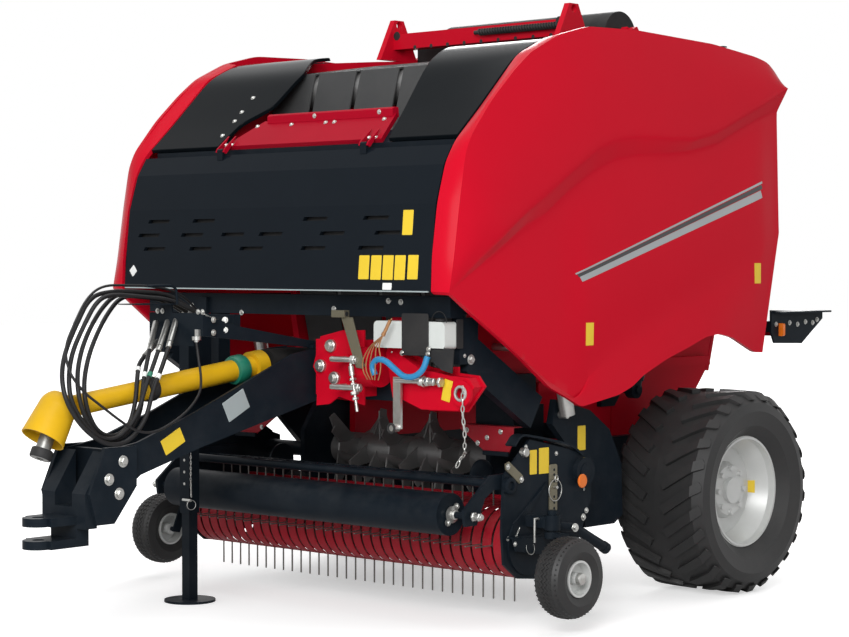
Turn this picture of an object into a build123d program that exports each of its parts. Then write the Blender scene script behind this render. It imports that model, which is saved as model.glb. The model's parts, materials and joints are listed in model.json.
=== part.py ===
from build123d import *

import math
import os

os.makedirs("parts", exist_ok=True)

# ---------------------------------------------------------------------------
# Round baler with a variable bale chamber, towed by a drawbar and driven by a
# PTO shaft.  Millimetres, +Z up, the drawbar points to -Y and the machine's
# left side is +X.  The origin is on the ground below the middle of the
# machine's length, so the axle and every other place is measured from there.
# ---------------------------------------------------------------------------

# ---- overall -------------------------------------------------------------
MACHINE_LENGTH = 4740.0
REAR_Y = MACHINE_LENGTH / 2
GAP = 6.0                    # running gap between pieces that move past each other
PIN_GAP = 0.3                # radial gap round a hinge pin

# ---- main wheels ---------------------------------------------------------
AXLE_Y = 1260.0
TYRE_R = 530.0
TYRE_W = 560.0
LUG_H = 20.0
LUG_W = 46.0
LUG_LEN = 255.0
LUG_TURN = 32.0              # degrees between a lug and the axle's direction
LUG_COUNT = 26               # lugs on each side of the tread
RIM_R = 290.0
RIM_FLANGE_R = 299.0
WHEEL_X = 1110.0
AXLE_Z = TYRE_R
HUB_R = 95.0
DISC_INSET = 150.0
WHEEL_NUTS = 8
AXLE_BEAM = 130.0
RAIL_OUT = 700.0             # outer face of the rails that carry the axle
RAIL_LOW = 640.0
RAIL_HIGH = 800.0
RAIL_Y0 = 400.3

# ---- bale chamber --------------------------------------------------------
CHAMBER_W = 1200.0
WALL_T = 40.0
WALL_IN = CHAMBER_W / 2
WALL_OUT = WALL_IN + WALL_T
CHAMBER_LOW = 760.0
GATE_SPLIT_Y = 1005.0
GATE_HINGE = (1145.0, 2900.0)     # y, z of the tailgate's hinge
GATE_BOSS_R = 90.0
GATE_PIN_R = 35.0
GATE_EAR_T = 40.0
RIB_H = 45.0                 # how far the walls' ribs stand out
RIB_W = 50.0
COVER_T = 26.0
ROLLER_R = 90.0
ROLLER_SHAFT_R = 30.0
BELT_T = 8.0
BELT_W = 262.0
BELT_PITCH = 295.0
BELT_COUNT = 4

# ---- front frame and bodywork -------------------------------------------
BONNET_LOW = (-907.0, 1588.0)
BONNET_TOP = (-757.0, 2262.0)
BONNET_HINGE = (-764.0, 2281.0)   # y, z of the bonnet's hinge
BONNET_HINGE_X = (-480.0, 520.0)
BONNET_HALF_W = 1067.0
PANEL_T = 25.0
SIDE_IN = 1078.0             # inner edge of the side panels
SIDE_RIDGE = 1173.0          # front ridge where the strip turns into the side
SIDE_BULGE = 45.0            # how far the side's main face stands out
SIDE_RECESS = 26.0           # depth of the pressed field
SIDE_HINGE = (1066.0, 2838.0)     # x, z of the side panel's hinge
SIDE_HINGE_Y = (570.0, 1300.0)
RAIL_X0 = 1008.0             # inner face of the side panel's hinge rail
HINGE_PIN_R = 6.0
KNUCKLE_R = 13.0
KNUCKLE_HALF = 20.0
TOP_BEAM_Y = 687.0
LIFT_EYE_Z = 3037.0
LIFT_EYE_R = 22.0
LIFT_EYE_T = 35.0
FRAME_FACE = -640.0          # y of the frame face that the drawbar and drive bolt to
BEAM = 100.0                 # square section of the front cross beam
BEAM_Y = -700.0
BEAM_Z = 1515.0

# ---- drawbar -------------------------------------------------------------
DRAWBAR_HALF_W = 150.0
DRAWBAR_PLATE = 16.0
EYE_R = 27.0
HITCH_LOW = 463.0
HITCH_PITCH = 100.0          # height from one cheek of the fork to the other
HITCH_CHEEK = 38.0
PTO_REAR = (-950.0, 1227.0)       # y, z
PTO_JOINT = (-2195.0, 1070.0)     # y, z of the front universal joint
BELL_DROP = 58.0             # degrees the guard bell hangs below level
YOKE_DROP = 66.0             # degrees the yoke hangs below level
BELL_LEN = 150.0
BELL_R = 100.0
YOKE_START = 90.0
YOKE_END = 232.0
YOKE_R = 43.0
PTO_TUBE_R = 48.0
PTO_STUB_R = 30.0
PTO_REAR_LEN = 690.0
HOOD_R = 86.0
BELL_EAR_X = 58.0            # inner face of the bell's pivot ears
BELL_RAISE = 50.0
PTO_BORE_LEN = 60.0
DRIVE_HUB = (1146.0, 1125.0)      # x, z
PTO_BORE_R = 17.5

# ---- hoses ---------------------------------------------------------------
HOSE_R = 10.5
CABLE_R = 6.0
COUPLER_R = 13.5
BEND_SHARE = 0.45            # part of the shorter run that a bend may use

# ---- stand ---------------------------------------------------------------
STAND_X = -620.0
STAND_Y = -860.0
STAND_OUTER = 70.0
STAND_INNER = 56.0
STAND_FOOT_R = 130.0
STAND_FOOT_T = 12.0

# ---- cylinders -----------------------------------------------------------
CYL_X = 790.0
CYL_FOOT = (1000.0, 1050.0)
CYL_HEAD = (1500.0, 2350.0)
CYL_R = 42.0
CYL_ROD_R = 22.0
CYL_PIN_R = 20.0
TENSION_X = 1048.0
TENSION_FOOT = (118.0, 975.0)
TENSION_HEAD = (40.0, 1300.0)

# ---- pickup --------------------------------------------------------------
PICKUP_PIVOT = (160.0, 700.0)
REEL = (-255.0, 385.0)
BAND_R = 168.0
BAND_T = 4.0
BAND_W = 52.0
TINE_R = 285.0
TINE_D = 6.0
TINE_PITCH = 66.0
TINE_COUNT = 32              # tines along one bar
TINE_BARS = 4
PICKUP_IN = 1090.0
PICKUP_PLATE = 14.0
PICKUP_PIN_R = 40.0
GUARD_X = 1066.0             # inner face of the wind guard's arms
GUARD_RODS = 19
WINDGUARD_PIVOT = (-150.0, 690.0)
CROP_ROLLER = (-640.0, 545.0)
CROP_ROLLER_R = 100.0
CROP_ROLLER_HALF = 955.0
GUARD_TUBE = (-515.0, 690.0)
GUARD_TUBE_R = 21.0
ROTOR = (215.0, 720.0)
ROTOR_R = 222.0
ROTOR_STARS = 16

# ---- gauge wheels --------------------------------------------------------
GAUGE_R = 187.0
GAUGE_W = 155.0
GAUGE_X = 1420.0
GAUGE_AXLE = (-338.0, 261.0)
GAUGE_RIM_R = 86.0
SWIVEL = (1250.0, -250.0)    # x, y of the castor's upright
SWIVEL_R = 24.0


# ---------------------------------------------------------------------------
# helpers
# ---------------------------------------------------------------------------
def block(x0, x1, y0, y1, z0, z1):
    """A box between two corners, given in any order."""
    size = (abs(x1 - x0), abs(y1 - y0), abs(z1 - z0))
    centre = ((x0 + x1) / 2, (y0 + y1) / 2, (z0 + z1) / 2)
    return Pos(*centre) * Box(*size)


def plate_yz(points, x0, x1):
    """A side plate: an outline in Y and Z, thick from x0 to x1."""
    face = Plane.YZ.offset(x0) * Polygon(*points, align=None)
    return extrude(face, amount=x1 - x0, dir=(1, 0, 0))


def rod_between(start, end, radius, hole=0.0):
    """A round bar or tube between two points."""
    a = Vector(*start)
    b = Vector(*end)
    plane = Plane(origin=a, z_dir=b - a)
    bar = extrude(plane * Circle(radius), amount=(b - a).length)
    if hole:
        bar -= extrude(plane * Circle(hole), amount=(b - a).length)
    return bar


def rod_x(place, radius, x0, x1, hole=0.0):
    """A round bar along X at a place (y, z)."""
    return rod_between((x0, *place), (x1, *place), radius, hole)


def beam_between(start, end, wide, high, up=(0, 0, 1)):
    """A square bar between two points; wide is across, high is along up."""
    a = Vector(*start)
    b = Vector(*end)
    plane = Plane(origin=a, x_dir=(b - a).cross(Vector(*up)), z_dir=b - a)
    return extrude(plane * Rectangle(wide, high), amount=(b - a).length)


def offset_line(points, distance):
    """The same line moved to its left, with mitred corners."""
    moved = []
    for index, point in enumerate(points):
        here = Vector(*point)
        before = Vector(*points[max(index - 1, 0)])
        after = Vector(*points[min(index + 1, len(points) - 1)])
        into = (here - before).normalized() if index else (after - here).normalized()
        out = (after - here).normalized() if index < len(points) - 1 else into
        mean = (into + out).normalized()
        normal = Vector(-mean.Y, mean.X)
        reach = distance / max(0.5, mean.dot(into))
        moved.append((here.X + normal.X * reach, here.Y + normal.Y * reach))
    return moved


def strip_yz(points, thick, x0, x1):
    """A bent sheet: a line of points in Y and Z, thick to its left."""
    return plate_yz(list(points) + offset_line(points, thick)[::-1], x0, x1)


def revolve_x(profile, x_shift, place):
    """Turn a profile of (x, radius) points about an X line at (y, z)."""
    face = Plane.XZ * Polygon(*profile, align=None)
    solid = revolve(face, axis=Axis.X)
    return Pos(x_shift, *place) * solid


def flipped(shape):
    """The same piece on the right side."""
    return mirror(shape, about=Plane.YZ)


def fused(pieces):
    """One solid from pieces that touch or overlap."""
    whole = pieces[0]
    for piece in pieces[1:]:
        whole = whole + piece
    return whole


def save(name, shape):
    export_step(shape, f"parts/{name}.step")


def save_pair(name, shape):
    save(f"{name}_left", shape)
    save(f"{name}_right", flipped(shape))


def save_both(name, shape):
    """Both sides' pieces in one node, as solids that don't touch."""
    save(name, Compound(children=[shape, flipped(shape)]))


def plate_xz(points, y0, y1):
    """An upright plate: an outline in X and Z, thick from y0 to y1."""
    face = Plane.XZ.offset(-y0) * Polygon(*points, align=None)
    return extrude(face, amount=y1 - y0, dir=(0, 1, 0))


def inset(points, distance):
    """A closed outline moved to its left, with mitred corners."""
    moved = []
    count = len(points)
    for index, point in enumerate(points):
        here = Vector(*point)
        into = (here - Vector(*points[index - 1])).normalized()
        out = (Vector(*points[(index + 1) % count]) - here).normalized()
        mean = (into + out).normalized()
        reach = distance / max(0.5, mean.dot(into))
        moved.append((here.X - mean.Y * reach, here.Y + mean.X * reach))
    return moved


def frustum(points0, x0, points1, x1):
    """A body ruled between two side outlines with the same number of corners."""
    near = Plane.YZ.offset(x0) * Polygon(*points0, align=None)
    far = Plane.YZ.offset(x1) * Polygon(*points1, align=None)
    return loft([near, far], ruled=True)


def cord(points, radius):
    """A cord with straight runs and tangent arcs; its least radius is printed."""
    bends = []
    for before, here, after in zip(points, points[1:], points[2:]):
        into = Vector(*here) - Vector(*before)
        out = Vector(*after) - Vector(*here)
        half_turn = math.radians(into.get_angle(out)) / 2
        bends.append(BEND_SHARE * min(into.length, out.length) / math.tan(half_turn))
    path = FilletPolyline(*points, radius=bends)
    start = Plane(origin=points[0], z_dir=Vector(*points[1]) - Vector(*points[0]))
    tube = sweep(start * Circle(radius), path=path)
    section = math.pi * radius ** 2
    print("cord length", round(path.length), "least radius", round(min(bends)),
          "volume share", round(tube.volume / (section * path.length), 3))
    return tube


# ---------------------------------------------------------------------------
# main wheels: tyre out to the tips of its lugs, deep dished rim, hub
# ---------------------------------------------------------------------------
def tread_envelope(outer):
    """Outline of the tread, from the rim out to a radius at the middle."""
    half = TYRE_W / 2
    return [
        (-half + 75, RIM_R), (-half + 20, RIM_R + 55), (-half, RIM_R + 130), (-half + 12, outer - 45),
        (-half + 55, outer - 6), (0, outer), (half - 55, outer - 6), (half - 12, outer - 45),
        (half, RIM_R + 130), (half - 20, RIM_R + 55), (half - 75, RIM_R),
    ]


def main_tyre():
    half = TYRE_W / 2
    hollow = [
        (half - 95, RIM_R + 25), (half - 70, RIM_R + 130), (half - 90, TYRE_R - 70), (0, TYRE_R - 55),
        (-half + 90, TYRE_R - 70), (-half + 70, RIM_R + 130), (-half + 95, RIM_R + 25),
    ]
    carcass = revolve_x(tread_envelope(TYRE_R - LUG_H) + hollow, 0, (0, 0))
    envelope = revolve_x(tread_envelope(TYRE_R), 0, (0, 0))
    lugs = []
    for side in (-1, 1):
        middle = Pos(side * (half - LUG_LEN * 0.47), 0, TYRE_R)
        lug = middle * Rot(0, 0, side * LUG_TURN) * Box(LUG_LEN, LUG_W, 100) & envelope
        for index in range(LUG_COUNT):
            angle = (index + (side + 1) / 4) * 360 / LUG_COUNT
            lugs.append(Rot(angle, 0, 0) * lug)
    return Pos(WHEEL_X, AXLE_Y, AXLE_Z) * (carcass + lugs)


def main_rim():
    half = TYRE_W / 2 - 76
    disc = half - DISC_INSET
    seat = RIM_R - PIN_GAP
    profile = [
        (-half, seat), (half, seat), (half + 2, RIM_FLANGE_R - 14), (half + 8, RIM_FLANGE_R - 14),
        (half + 8, seat - 16), (half - 30, seat - 18), (disc + 20, seat - 60), (disc + 20, 150),
        (disc + 60, 130), (disc + 60, HUB_R + 25), (disc + 60, HUB_R - 30), (disc - 8, HUB_R - 30),
        (disc - 8, 160), (disc, 165), (disc, seat - 66), (-half, seat - 16),
    ]
    barrel = revolve_x(profile, WHEEL_X, (AXLE_Y, AXLE_Z))
    cap_x = WHEEL_X + disc
    cap = rod_x((AXLE_Y, AXLE_Z), HUB_R - 29.0, cap_x - 8, cap_x + 85)
    pitch_r = HUB_R + 20
    for turn in range(WHEEL_NUTS):
        angle = math.radians(turn * 360 / WHEEL_NUTS)
        place = (AXLE_Y + pitch_r * math.cos(angle), AXLE_Z + pitch_r * math.sin(angle))
        cap = cap + rod_x(place, 14, cap_x + 50, cap_x + 78)
    return barrel + cap


def axle():
    """Axle beam with its stubs, and the rails that carry it under the chamber walls."""
    stub_end = WHEEL_X + TYRE_W / 2 - 76 - DISC_INSET - 8 - PIN_GAP
    half = AXLE_BEAM / 2
    back = AXLE_Y + half
    beam = block(-800, 800, AXLE_Y - half, back, AXLE_Z - half, AXLE_Z + half)
    for side in (-1, 1):
        out = side * RAIL_OUT
        beam += rod_x((AXLE_Y, AXLE_Z), HUB_R - 30, side * 790, side * stub_end)
        beam += rod_x((AXLE_Y, AXLE_Z), HUB_R + 25, side * (stub_end - 60), side * stub_end)
        beam += block(side * (WALL_OUT + GAP), out, AXLE_Y - half, back, AXLE_Z, RAIL_LOW + 1)
        beam += block(side * (WALL_OUT + GAP), out, RAIL_Y0, back + 20, RAIL_LOW, RAIL_HIGH)
        beam += block(side * (WALL_OUT + PIN_GAP), out, RAIL_Y0, GATE_SPLIT_Y - 15, RAIL_LOW, RAIL_HIGH)
    return beam


# ---------------------------------------------------------------------------
# bale chamber: fixed front walls, tailgate, rollers and belts
# ---------------------------------------------------------------------------
WING_LINE = [(-722, 2309), (-581, 2436), (-306, 2705), (-104, 2796), (500, 2850)]
WING_UNDER = offset_line(WING_LINE, -(PANEL_T + PIN_GAP))
FRONT_WALL = [
    (-120, 1440), (-60, 1100), (60, 1000), (330, 960), (330, CHAMBER_LOW), (GATE_SPLIT_Y - 5, CHAMBER_LOW),
    (GATE_SPLIT_Y - 5, 2840), (700, 2840), *WING_UNDER[:0:-1], (-600, 2235), (-330, 2150), (-150, 2000),
    (-120, 1850),
]
GATE_BACK = [(1880, 1120), (1985, 1480), (1990, 2300), (1930, 2600), (1780, 2800), (1560, 2890)]
GATE_WALL = [
    (GATE_SPLIT_Y + 5, CHAMBER_LOW), (1400, CHAMBER_LOW), (1660, 880), *GATE_BACK,
    (1300, 2930), (1145, 2980), (GATE_SPLIT_Y + 60, 2900), (GATE_SPLIT_Y + 5, 2790),
]
WALL_RIBS = [(340, 860, 1060), (340, 960, 1500), (-60, 960, 2200)]       # y from, y to, z
GATE_RIBS = [(1060, 1860, 1150), (1060, 1950, 1700), (1260, 1950, 2200)]


def front_wall():
    wall = plate_yz(FRONT_WALL, WALL_IN, WALL_OUT)
    y, z = GATE_HINGE
    ear = [(820, 2700), (990, 2640), (y + 60, z - 70), (y + 90, z), (y + 30, z + 80), (820, 2840)]
    wall += plate_yz(ear, WALL_OUT - 1, WALL_OUT + GATE_EAR_T)
    for y0, y1, z0 in WALL_RIBS:
        wall += block(WALL_OUT - 1, WALL_OUT + RIB_H, y0, y1, z0, z0 + RIB_W)
    wall -= rod_x(GATE_HINGE, GATE_BOSS_R + 60, WALL_IN - 5, WALL_OUT + PIN_GAP)
    return wall + rod_x(GATE_HINGE, GATE_PIN_R, WALL_IN + 2, WALL_OUT + GATE_EAR_T + 20)


def gate_wall():
    wall = plate_yz(GATE_WALL, WALL_IN, WALL_OUT - 2)
    for y0, y1, z0 in GATE_RIBS:
        wall += block(WALL_OUT - 3, WALL_OUT + RIB_H - 3, y0, y1, z0, z0 + RIB_W)
    return wall - rod_x(GATE_HINGE, GATE_PIN_R + PIN_GAP, WALL_IN - 5, WALL_OUT + 5)


def cylinder_lug():
    y, z = CYL_HEAD
    bracket = [(y - 60, z + 60), (y + 80, z + 60), (y + 60, z - 50), (y - 60, z - 50)]
    return plate_yz(bracket, WALL_OUT - 2 + PIN_GAP, CYL_X - 30)


def gate_cover():
    return strip_yz(GATE_BACK[::-1], COVER_T, -WALL_OUT, WALL_OUT)


FRONT_ROLLERS = [
    (80, 1180), (-10, 1560), (-60, 1950), (-260, 2330), (-185, 2605), (480, 2700), (870, 2720),
]
GATE_ROLLERS = [(1340, 2760), (1765, 2590), (1835, 1330), (1560, 940)]


def rollers(places):
    """Belt rollers with stub shafts that reach both walls."""
    reach = WALL_IN - PIN_GAP
    whole = []
    for place in places:
        drum = rod_x(place, ROLLER_R, -reach + 8, reach - 8)
        whole.append(drum + rod_x(place, ROLLER_SHAFT_R, -reach, reach))
    return Compound(children=whole)


def belts(points):
    pieces = []
    for index in range(BELT_COUNT):
        centre = (index - (BELT_COUNT - 1) / 2) * BELT_PITCH
        pieces.append(strip_yz(points, BELT_T, centre - BELT_W / 2, centre + BELT_W / 2))
    return Compound(children=pieces)


save_pair("main_tyre", main_tyre())
save_pair("main_rim", main_rim())
save("axle", axle())
save_both("chamber_walls", front_wall())
gate_pieces = [gate_wall(), cylinder_lug()]
save("tailgate_walls", Compound(children=gate_pieces + [flipped(piece) for piece in gate_pieces]))
save("tailgate_cover", gate_cover())
save("front_rollers", rollers(FRONT_ROLLERS))
save("tailgate_rollers", rollers(GATE_ROLLERS))
save("front_belts", belts(offset_line(FRONT_ROLLERS, ROLLER_R + PIN_GAP)))
save("tailgate_belts", belts(offset_line(GATE_ROLLERS[::-1], ROLLER_R + PIN_GAP)))


# ---------------------------------------------------------------------------
# front frame, top cross members and covers
# ---------------------------------------------------------------------------
def front_frame():
    half = BEAM / 2
    frame = block(-1050, 1050, BEAM_Y - half, BEAM_Y + half, BEAM_Z - half, BEAM_Z + half)
    for side in (-1, 1):
        x0 = side * (WALL_OUT + PIN_GAP)
        x1 = side * (WALL_OUT + 60)
        frame += block(x0, x1, BEAM_Y, 300, BEAM_Z - 45, BEAM_Z + 45)
        frame += block(x0, x1, FRAME_FACE, 300, 1060, 1160)
        frame += block(x0, x1, FRAME_FACE, FRAME_FACE + 80, 1060, BEAM_Z)
    return frame + block(-WALL_OUT - 60, WALL_OUT + 60, FRAME_FACE, FRAME_FACE + 80, 1060, 1160)


def diagonal_frame():
    """Sloping arm under the side panel, hung from the front cross beam."""
    bar = beam_between((1030, -600, 1290), (1030, -130, 1000), 170, 50, up=(1, 0, 0))
    return bar + block(1005, 1055, -690, -560, 1250, BEAM_Z - BEAM / 2)


def side_cover():
    """Dark lower side plate that closes the feeder's drive, on a spacer from the wall."""
    outline = [
        (90, 1050), (360, 985), (520, 880), (620, 700), (630, 440), (560, 400), (320, 400), (300, 700),
        (60, 930),
    ]
    return plate_yz(outline, 960, 1000) + rod_x((450, 860), 40, WALL_OUT + PIN_GAP, 965)


def side_rail():
    """Rail that carries the side panel's hinges, on arms from the chamber wall."""
    x, z = SIDE_HINGE
    rail = block(RAIL_X0, RAIL_X0 + 35, SIDE_HINGE_Y[0] - 45, SIDE_HINGE_Y[1] + 45, z - 46, z - 14)
    for y, from_x in ((SIDE_HINGE_Y[0], WALL_OUT), (GATE_SPLIT_Y - 65, WALL_OUT + GATE_EAR_T)):
        rail += block(from_x + PIN_GAP, RAIL_X0 + 1, y - 25, y + 25, z - 46, z - 14)
    for y in SIDE_HINGE_Y:
        for lug_y in (y - KNUCKLE_HALF - 10, y + KNUCKLE_HALF + 1):
            rail += block(RAIL_X0, x + 8, lug_y, lug_y + 9, z - 30, z + 10)
        rail += rod_between((x, y - KNUCKLE_HALF - 10, z), (x, y + KNUCKLE_HALF + 10, z), HINGE_PIN_R)
    return rail


def top_beam():
    """Box beam between the lifting eyes, with the two triangular eye plates."""
    beam = block(-WALL_IN, WALL_IN, TOP_BEAM_Y - 47, TOP_BEAM_Y + 47, 2900, 2985)
    low = 2840 + PIN_GAP
    high = 3065
    outline = [
        (TOP_BEAM_Y - 150, low), (TOP_BEAM_Y + 150, low), (TOP_BEAM_Y + 36, high), (TOP_BEAM_Y - 36, high),
    ]
    for side in (-1, 1):
        eye = plate_yz(outline, side * WALL_IN, side * (WALL_IN + LIFT_EYE_T))
        hole = rod_x((TOP_BEAM_Y, LIFT_EYE_Z), LIFT_EYE_R, side * (WALL_IN - 5), side * (WALL_OUT + 5))
        beam += eye - hole
    return beam


def front_top_beam():
    """Beam under the lower edge of the wings and centre panel, on arms from the walls."""
    foot, top = WING_UNDER[:2]
    middle = ((foot[0] + top[0]) / 2, (foot[1] + top[1]) / 2)
    section = [foot, (foot[0], 2235), (middle[0], 2235), middle]
    beam = plate_yz(section, -BONNET_HALF_W + 30, BONNET_HALF_W - 30)
    for side in (-1, 1):
        beam += block(side * (WALL_OUT + PIN_GAP), side * RAIL_OUT, middle[0] - 10, -500, 2240, 2290)
    return beam


def centre_panel():
    """Red panel between the wings, with the eyes of the bonnet's two hinges."""
    panel = strip_yz(WING_LINE[:2], -PANEL_T, -546, 597)
    outline = Polygon((-546, -760), (597, -760), (550, -560), (-330, -560), align=None)
    panel &= extrude(Plane.XY.offset(2200) * outline, amount=400, dir=(0, 0, 1))
    y, z = BONNET_HINGE
    lug = [(y - 13, z - 4), (y + 6, z - 12), (y + 45, z + 32), (y + 75, z + 80), (y - 4, z + 14)]
    for x in BONNET_HINGE_X:
        for lug_x in (x - KNUCKLE_HALF - 11, x + KNUCKLE_HALF + 1):
            panel += plate_yz(lug, lug_x, lug_x + 10)
        panel += rod_x(BONNET_HINGE, HINGE_PIN_R, x - KNUCKLE_HALF - 11, x + KNUCKLE_HALF + 11)
    return panel


def wing(low_x, high_x):
    """Black upper wing: a bent sheet whose inner edge runs slantwise."""
    least = min(low_x, high_x)
    sheet = strip_yz(WING_LINE, -PANEL_T, least, BONNET_HALF_W)
    slant = [(least - 50, -900), (low_x, -745), (high_x, -100), (high_x, 600), (least - 50, 600)]
    notch = Polygon(*slant, align=None)
    return sheet - extrude(Plane.XY.offset(2000) * notch, amount=1200, dir=(0, 0, 1))


def hinge_cover():
    """Rounded black cover over the tailgate's hinge line, its front skirt on the walls."""
    y, z = GATE_HINGE[0], GATE_HINGE[1] + 25
    radius = 140
    outer = rod_x((y, z), radius, -590, 590) - rod_x((y, z), radius - 8, -582, 582)
    outer -= block(-600, 600, y - 300, y + 300, z - 400, z + 20)
    reach = WALL_OUT - 1 - PIN_GAP
    skirt = block(-reach, reach, 880, 888, 2840 + PIN_GAP, z + 28)
    return outer + block(-590, 590, 880, y - radius + 4, z + 20, z + 28) + skirt


def cylinder_foot():
    """Pin and bracket that carry the tailgate cylinder on the fixed wall."""
    bracket = [(880, 960), (995, 960), (1040, 1010), (1040, 1100), (990, 1120), (880, 1100)]
    foot = plate_yz(bracket, WALL_OUT + PIN_GAP, WALL_OUT + 30)
    return foot + rod_x(CYL_FOOT, CYL_PIN_R, WALL_OUT + PIN_GAP, CYL_X + 40)


save("front_frame", Compound(children=[front_frame(), front_top_beam()]))
side_pieces = [diagonal_frame(), side_cover(), side_rail(), cylinder_foot()]
save("side_frame", Compound(children=side_pieces + [flipped(piece) for piece in side_pieces]))
save("top_beam", top_beam())
save("centre_panel", centre_panel())
save("wings", Compound(children=[wing(640, 450), flipped(wing(560, 500))]))
save("hinge_cover", hinge_cover())


# ---------------------------------------------------------------------------
# bonnet with its rows of slots
# ---------------------------------------------------------------------------
BONNET_LINE = [BONNET_LOW, (-895, 1750), (-870, 1990), (-815, 2170), BONNET_TOP]
SLOT_ROWS = [         # z of the row, x of each slot's middle
    (1930, (-830, -490, 300, 700)),
    (1860, (-900, -570, -270, 0, 420, 780)),
    (1790, (-850, -500, -130, 300, 680)),
]


def bonnet():
    panel = strip_yz(BONNET_LINE, -PANEL_T, -BONNET_HALF_W, BONNET_HALF_W)
    slots = []
    for z, places in SLOT_ROWS:
        for x in places:
            outline = [(x - 85, z - 9), (x + 75, z - 9), (x + 85, z + 9), (x - 75, z + 9)]
            slots.append(plate_xz(outline, -1000, -800))
    panel = panel - slots
    y, z = BONNET_HINGE
    for x in BONNET_HINGE_X:
        tab = plate_yz([(y - 12, z), (y - 12, z - 45), (y + 8, z - 45), (y + 9, z - 8), (y + 8, z)],
                       x - KNUCKLE_HALF, x + KNUCKLE_HALF)
        panel += tab + rod_x(BONNET_HINGE, KNUCKLE_R, x - KNUCKLE_HALF, x + KNUCKLE_HALF)
        panel -= rod_x(BONNET_HINGE, HINGE_PIN_R + PIN_GAP, x - 40, x + 40)
    return panel


save("bonnet", bonnet())


# ---------------------------------------------------------------------------
# side panels: large gull-wing mouldings hinged along their top edge
# ---------------------------------------------------------------------------
SIDE_FACETS = [       # y, z of the outer edge; y, z of the crease it slopes up to
    (-897, 1586, -850, 1592), (-822, 2028, -600, 1785), (-747, 2300, -394, 1928), (-441, 2620, -133, 2112),
    (-161, 2791, 176, 2266), (118, 2862, 584, 2330), (510, 2874, 800, 2344), (1166, 2854, 1015, 2358),
    (1672, 2798, 1425, 2480), (1835, 2671, 1740, 2610), (1760, 2528, 1700, 2480), (1760, 2230, 1700, 2230),
    (1784, 1880, 1720, 1890), (1746, 1625, 1668, 1678), (1660, 1422, 1500, 1640), (1609, 1240, 1350, 1606),
    (1533, 1242, 1200, 1570), (1299, 1331, 1019, 1526), (1175, 1343, 850, 1480), (908, 1279, 700, 1440),
    (515, 1164, 503, 1384), (315, 1072, 300, 1270), (15, 1027, 178, 1197), (-80, 1071, 40, 1140),
    (-223, 1129, -180, 1190),
]
SIDE_FIELD = [
    (-330, 1800), (-133, 2030), (176, 2190), (584, 2262), (1015, 2290), (1425, 2405), (1640, 2500),
    (1640, 2100), (1635, 1790), (1500, 1690), (1019, 1585), (503, 1445), (178, 1300), (-100, 1400),
]
STRIP_INNER = [       # y, z of the front strip where it meets the bonnet and the wings
    (-914, 1590), (-908, 1747), (-872, 1992), (-816, 2179),
    (-751, 2279), (-581, 2436), (-306, 2705), (-104, 2796),
]
STRIP_OUTER = [       # the same line at the outer ridge
    (-878, 1596), (-862, 1740), (-822, 2000), (-786, 2215),
    (-747, 2300), (-600, 2470), (-320, 2712), (-110, 2812),
]


def side_panel():
    edge = [(row[0], row[1]) for row in SIDE_FACETS]
    crease = [(row[2], row[3]) for row in SIDE_FACETS]
    face_x = SIDE_RIDGE + SIDE_BULGE
    skin = plate_yz(edge, SIDE_RIDGE - PANEL_T, SIDE_RIDGE)
    skin += frustum(edge, SIDE_RIDGE - 1, crease, face_x)
    skin -= frustum(SIDE_FIELD, face_x + 1, inset(SIDE_FIELD, -SIDE_RECESS * 2), face_x - SIDE_RECESS)
    back_x = SIDE_RIDGE - PANEL_T
    skin -= frustum(SIDE_FIELD, back_x - 1, inset(SIDE_FIELD, -PANEL_T), back_x + PANEL_T)
    strip = frustum(STRIP_INNER + offset_line(STRIP_INNER, -PANEL_T)[::-1], SIDE_IN,
                    STRIP_OUTER + offset_line(STRIP_OUTER, -PANEL_T)[::-1], SIDE_RIDGE - 1)
    skin += strip
    x, z = SIDE_HINGE
    for y in SIDE_HINGE_Y:
        y0, y1 = y - KNUCKLE_HALF, y + KNUCKLE_HALF
        skin += block(x, back_x + 1, y0, y1, z + 2, z + KNUCKLE_R)
        skin += rod_between((x, y0, z), (x, y1, z), KNUCKLE_R)
        skin -= rod_between((x, y0 - 1, z), (x, y1 + 1, z), HINGE_PIN_R + PIN_GAP)
    return skin


save_pair("side_panel", side_panel())


# ---------------------------------------------------------------------------
# drawbar, hitch and PTO shaft
# ---------------------------------------------------------------------------
DRAWBAR_SIDE = [
    (-1996, 654), (-1838, 764), (-1478, 864), (FRAME_FACE - PIN_GAP, 1066), (FRAME_FACE - PIN_GAP, 1305),
    (-743, 1300), (-880, 1278), (-1255, 1130), (-1540, 1018), (-1855, 912), (-2030, 885),
]


def along(a, b, distance, x=0.0):
    """The point at a distance from a towards b, both (y, z), at one x."""
    t = distance / math.dist(a, b)
    return (x, a[0] + (b[0] - a[0]) * t, a[1] + (b[1] - a[1]) * t)


def below(place, drop, distance):
    """The point (y, z) at a distance from a place, forwards and drop degrees down."""
    angle = math.radians(drop)
    return (place[0] - math.cos(angle) * distance, place[1] - math.sin(angle) * distance)


def drawbar():
    whole = plate_yz(DRAWBAR_SIDE, DRAWBAR_HALF_W - DRAWBAR_PLATE, DRAWBAR_HALF_W)
    whole += flipped(whole)
    inner = DRAWBAR_HALF_W - DRAWBAR_PLATE + 1
    whole += strip_yz(DRAWBAR_SIDE[3::-1], -14, -inner, inner)
    whole += block(-inner, inner, -1990, -1960, 700, 885)
    return whole + block(-inner, inner, FRAME_FACE - 14, FRAME_FACE - PIN_GAP, 1070, 1300)


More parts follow.
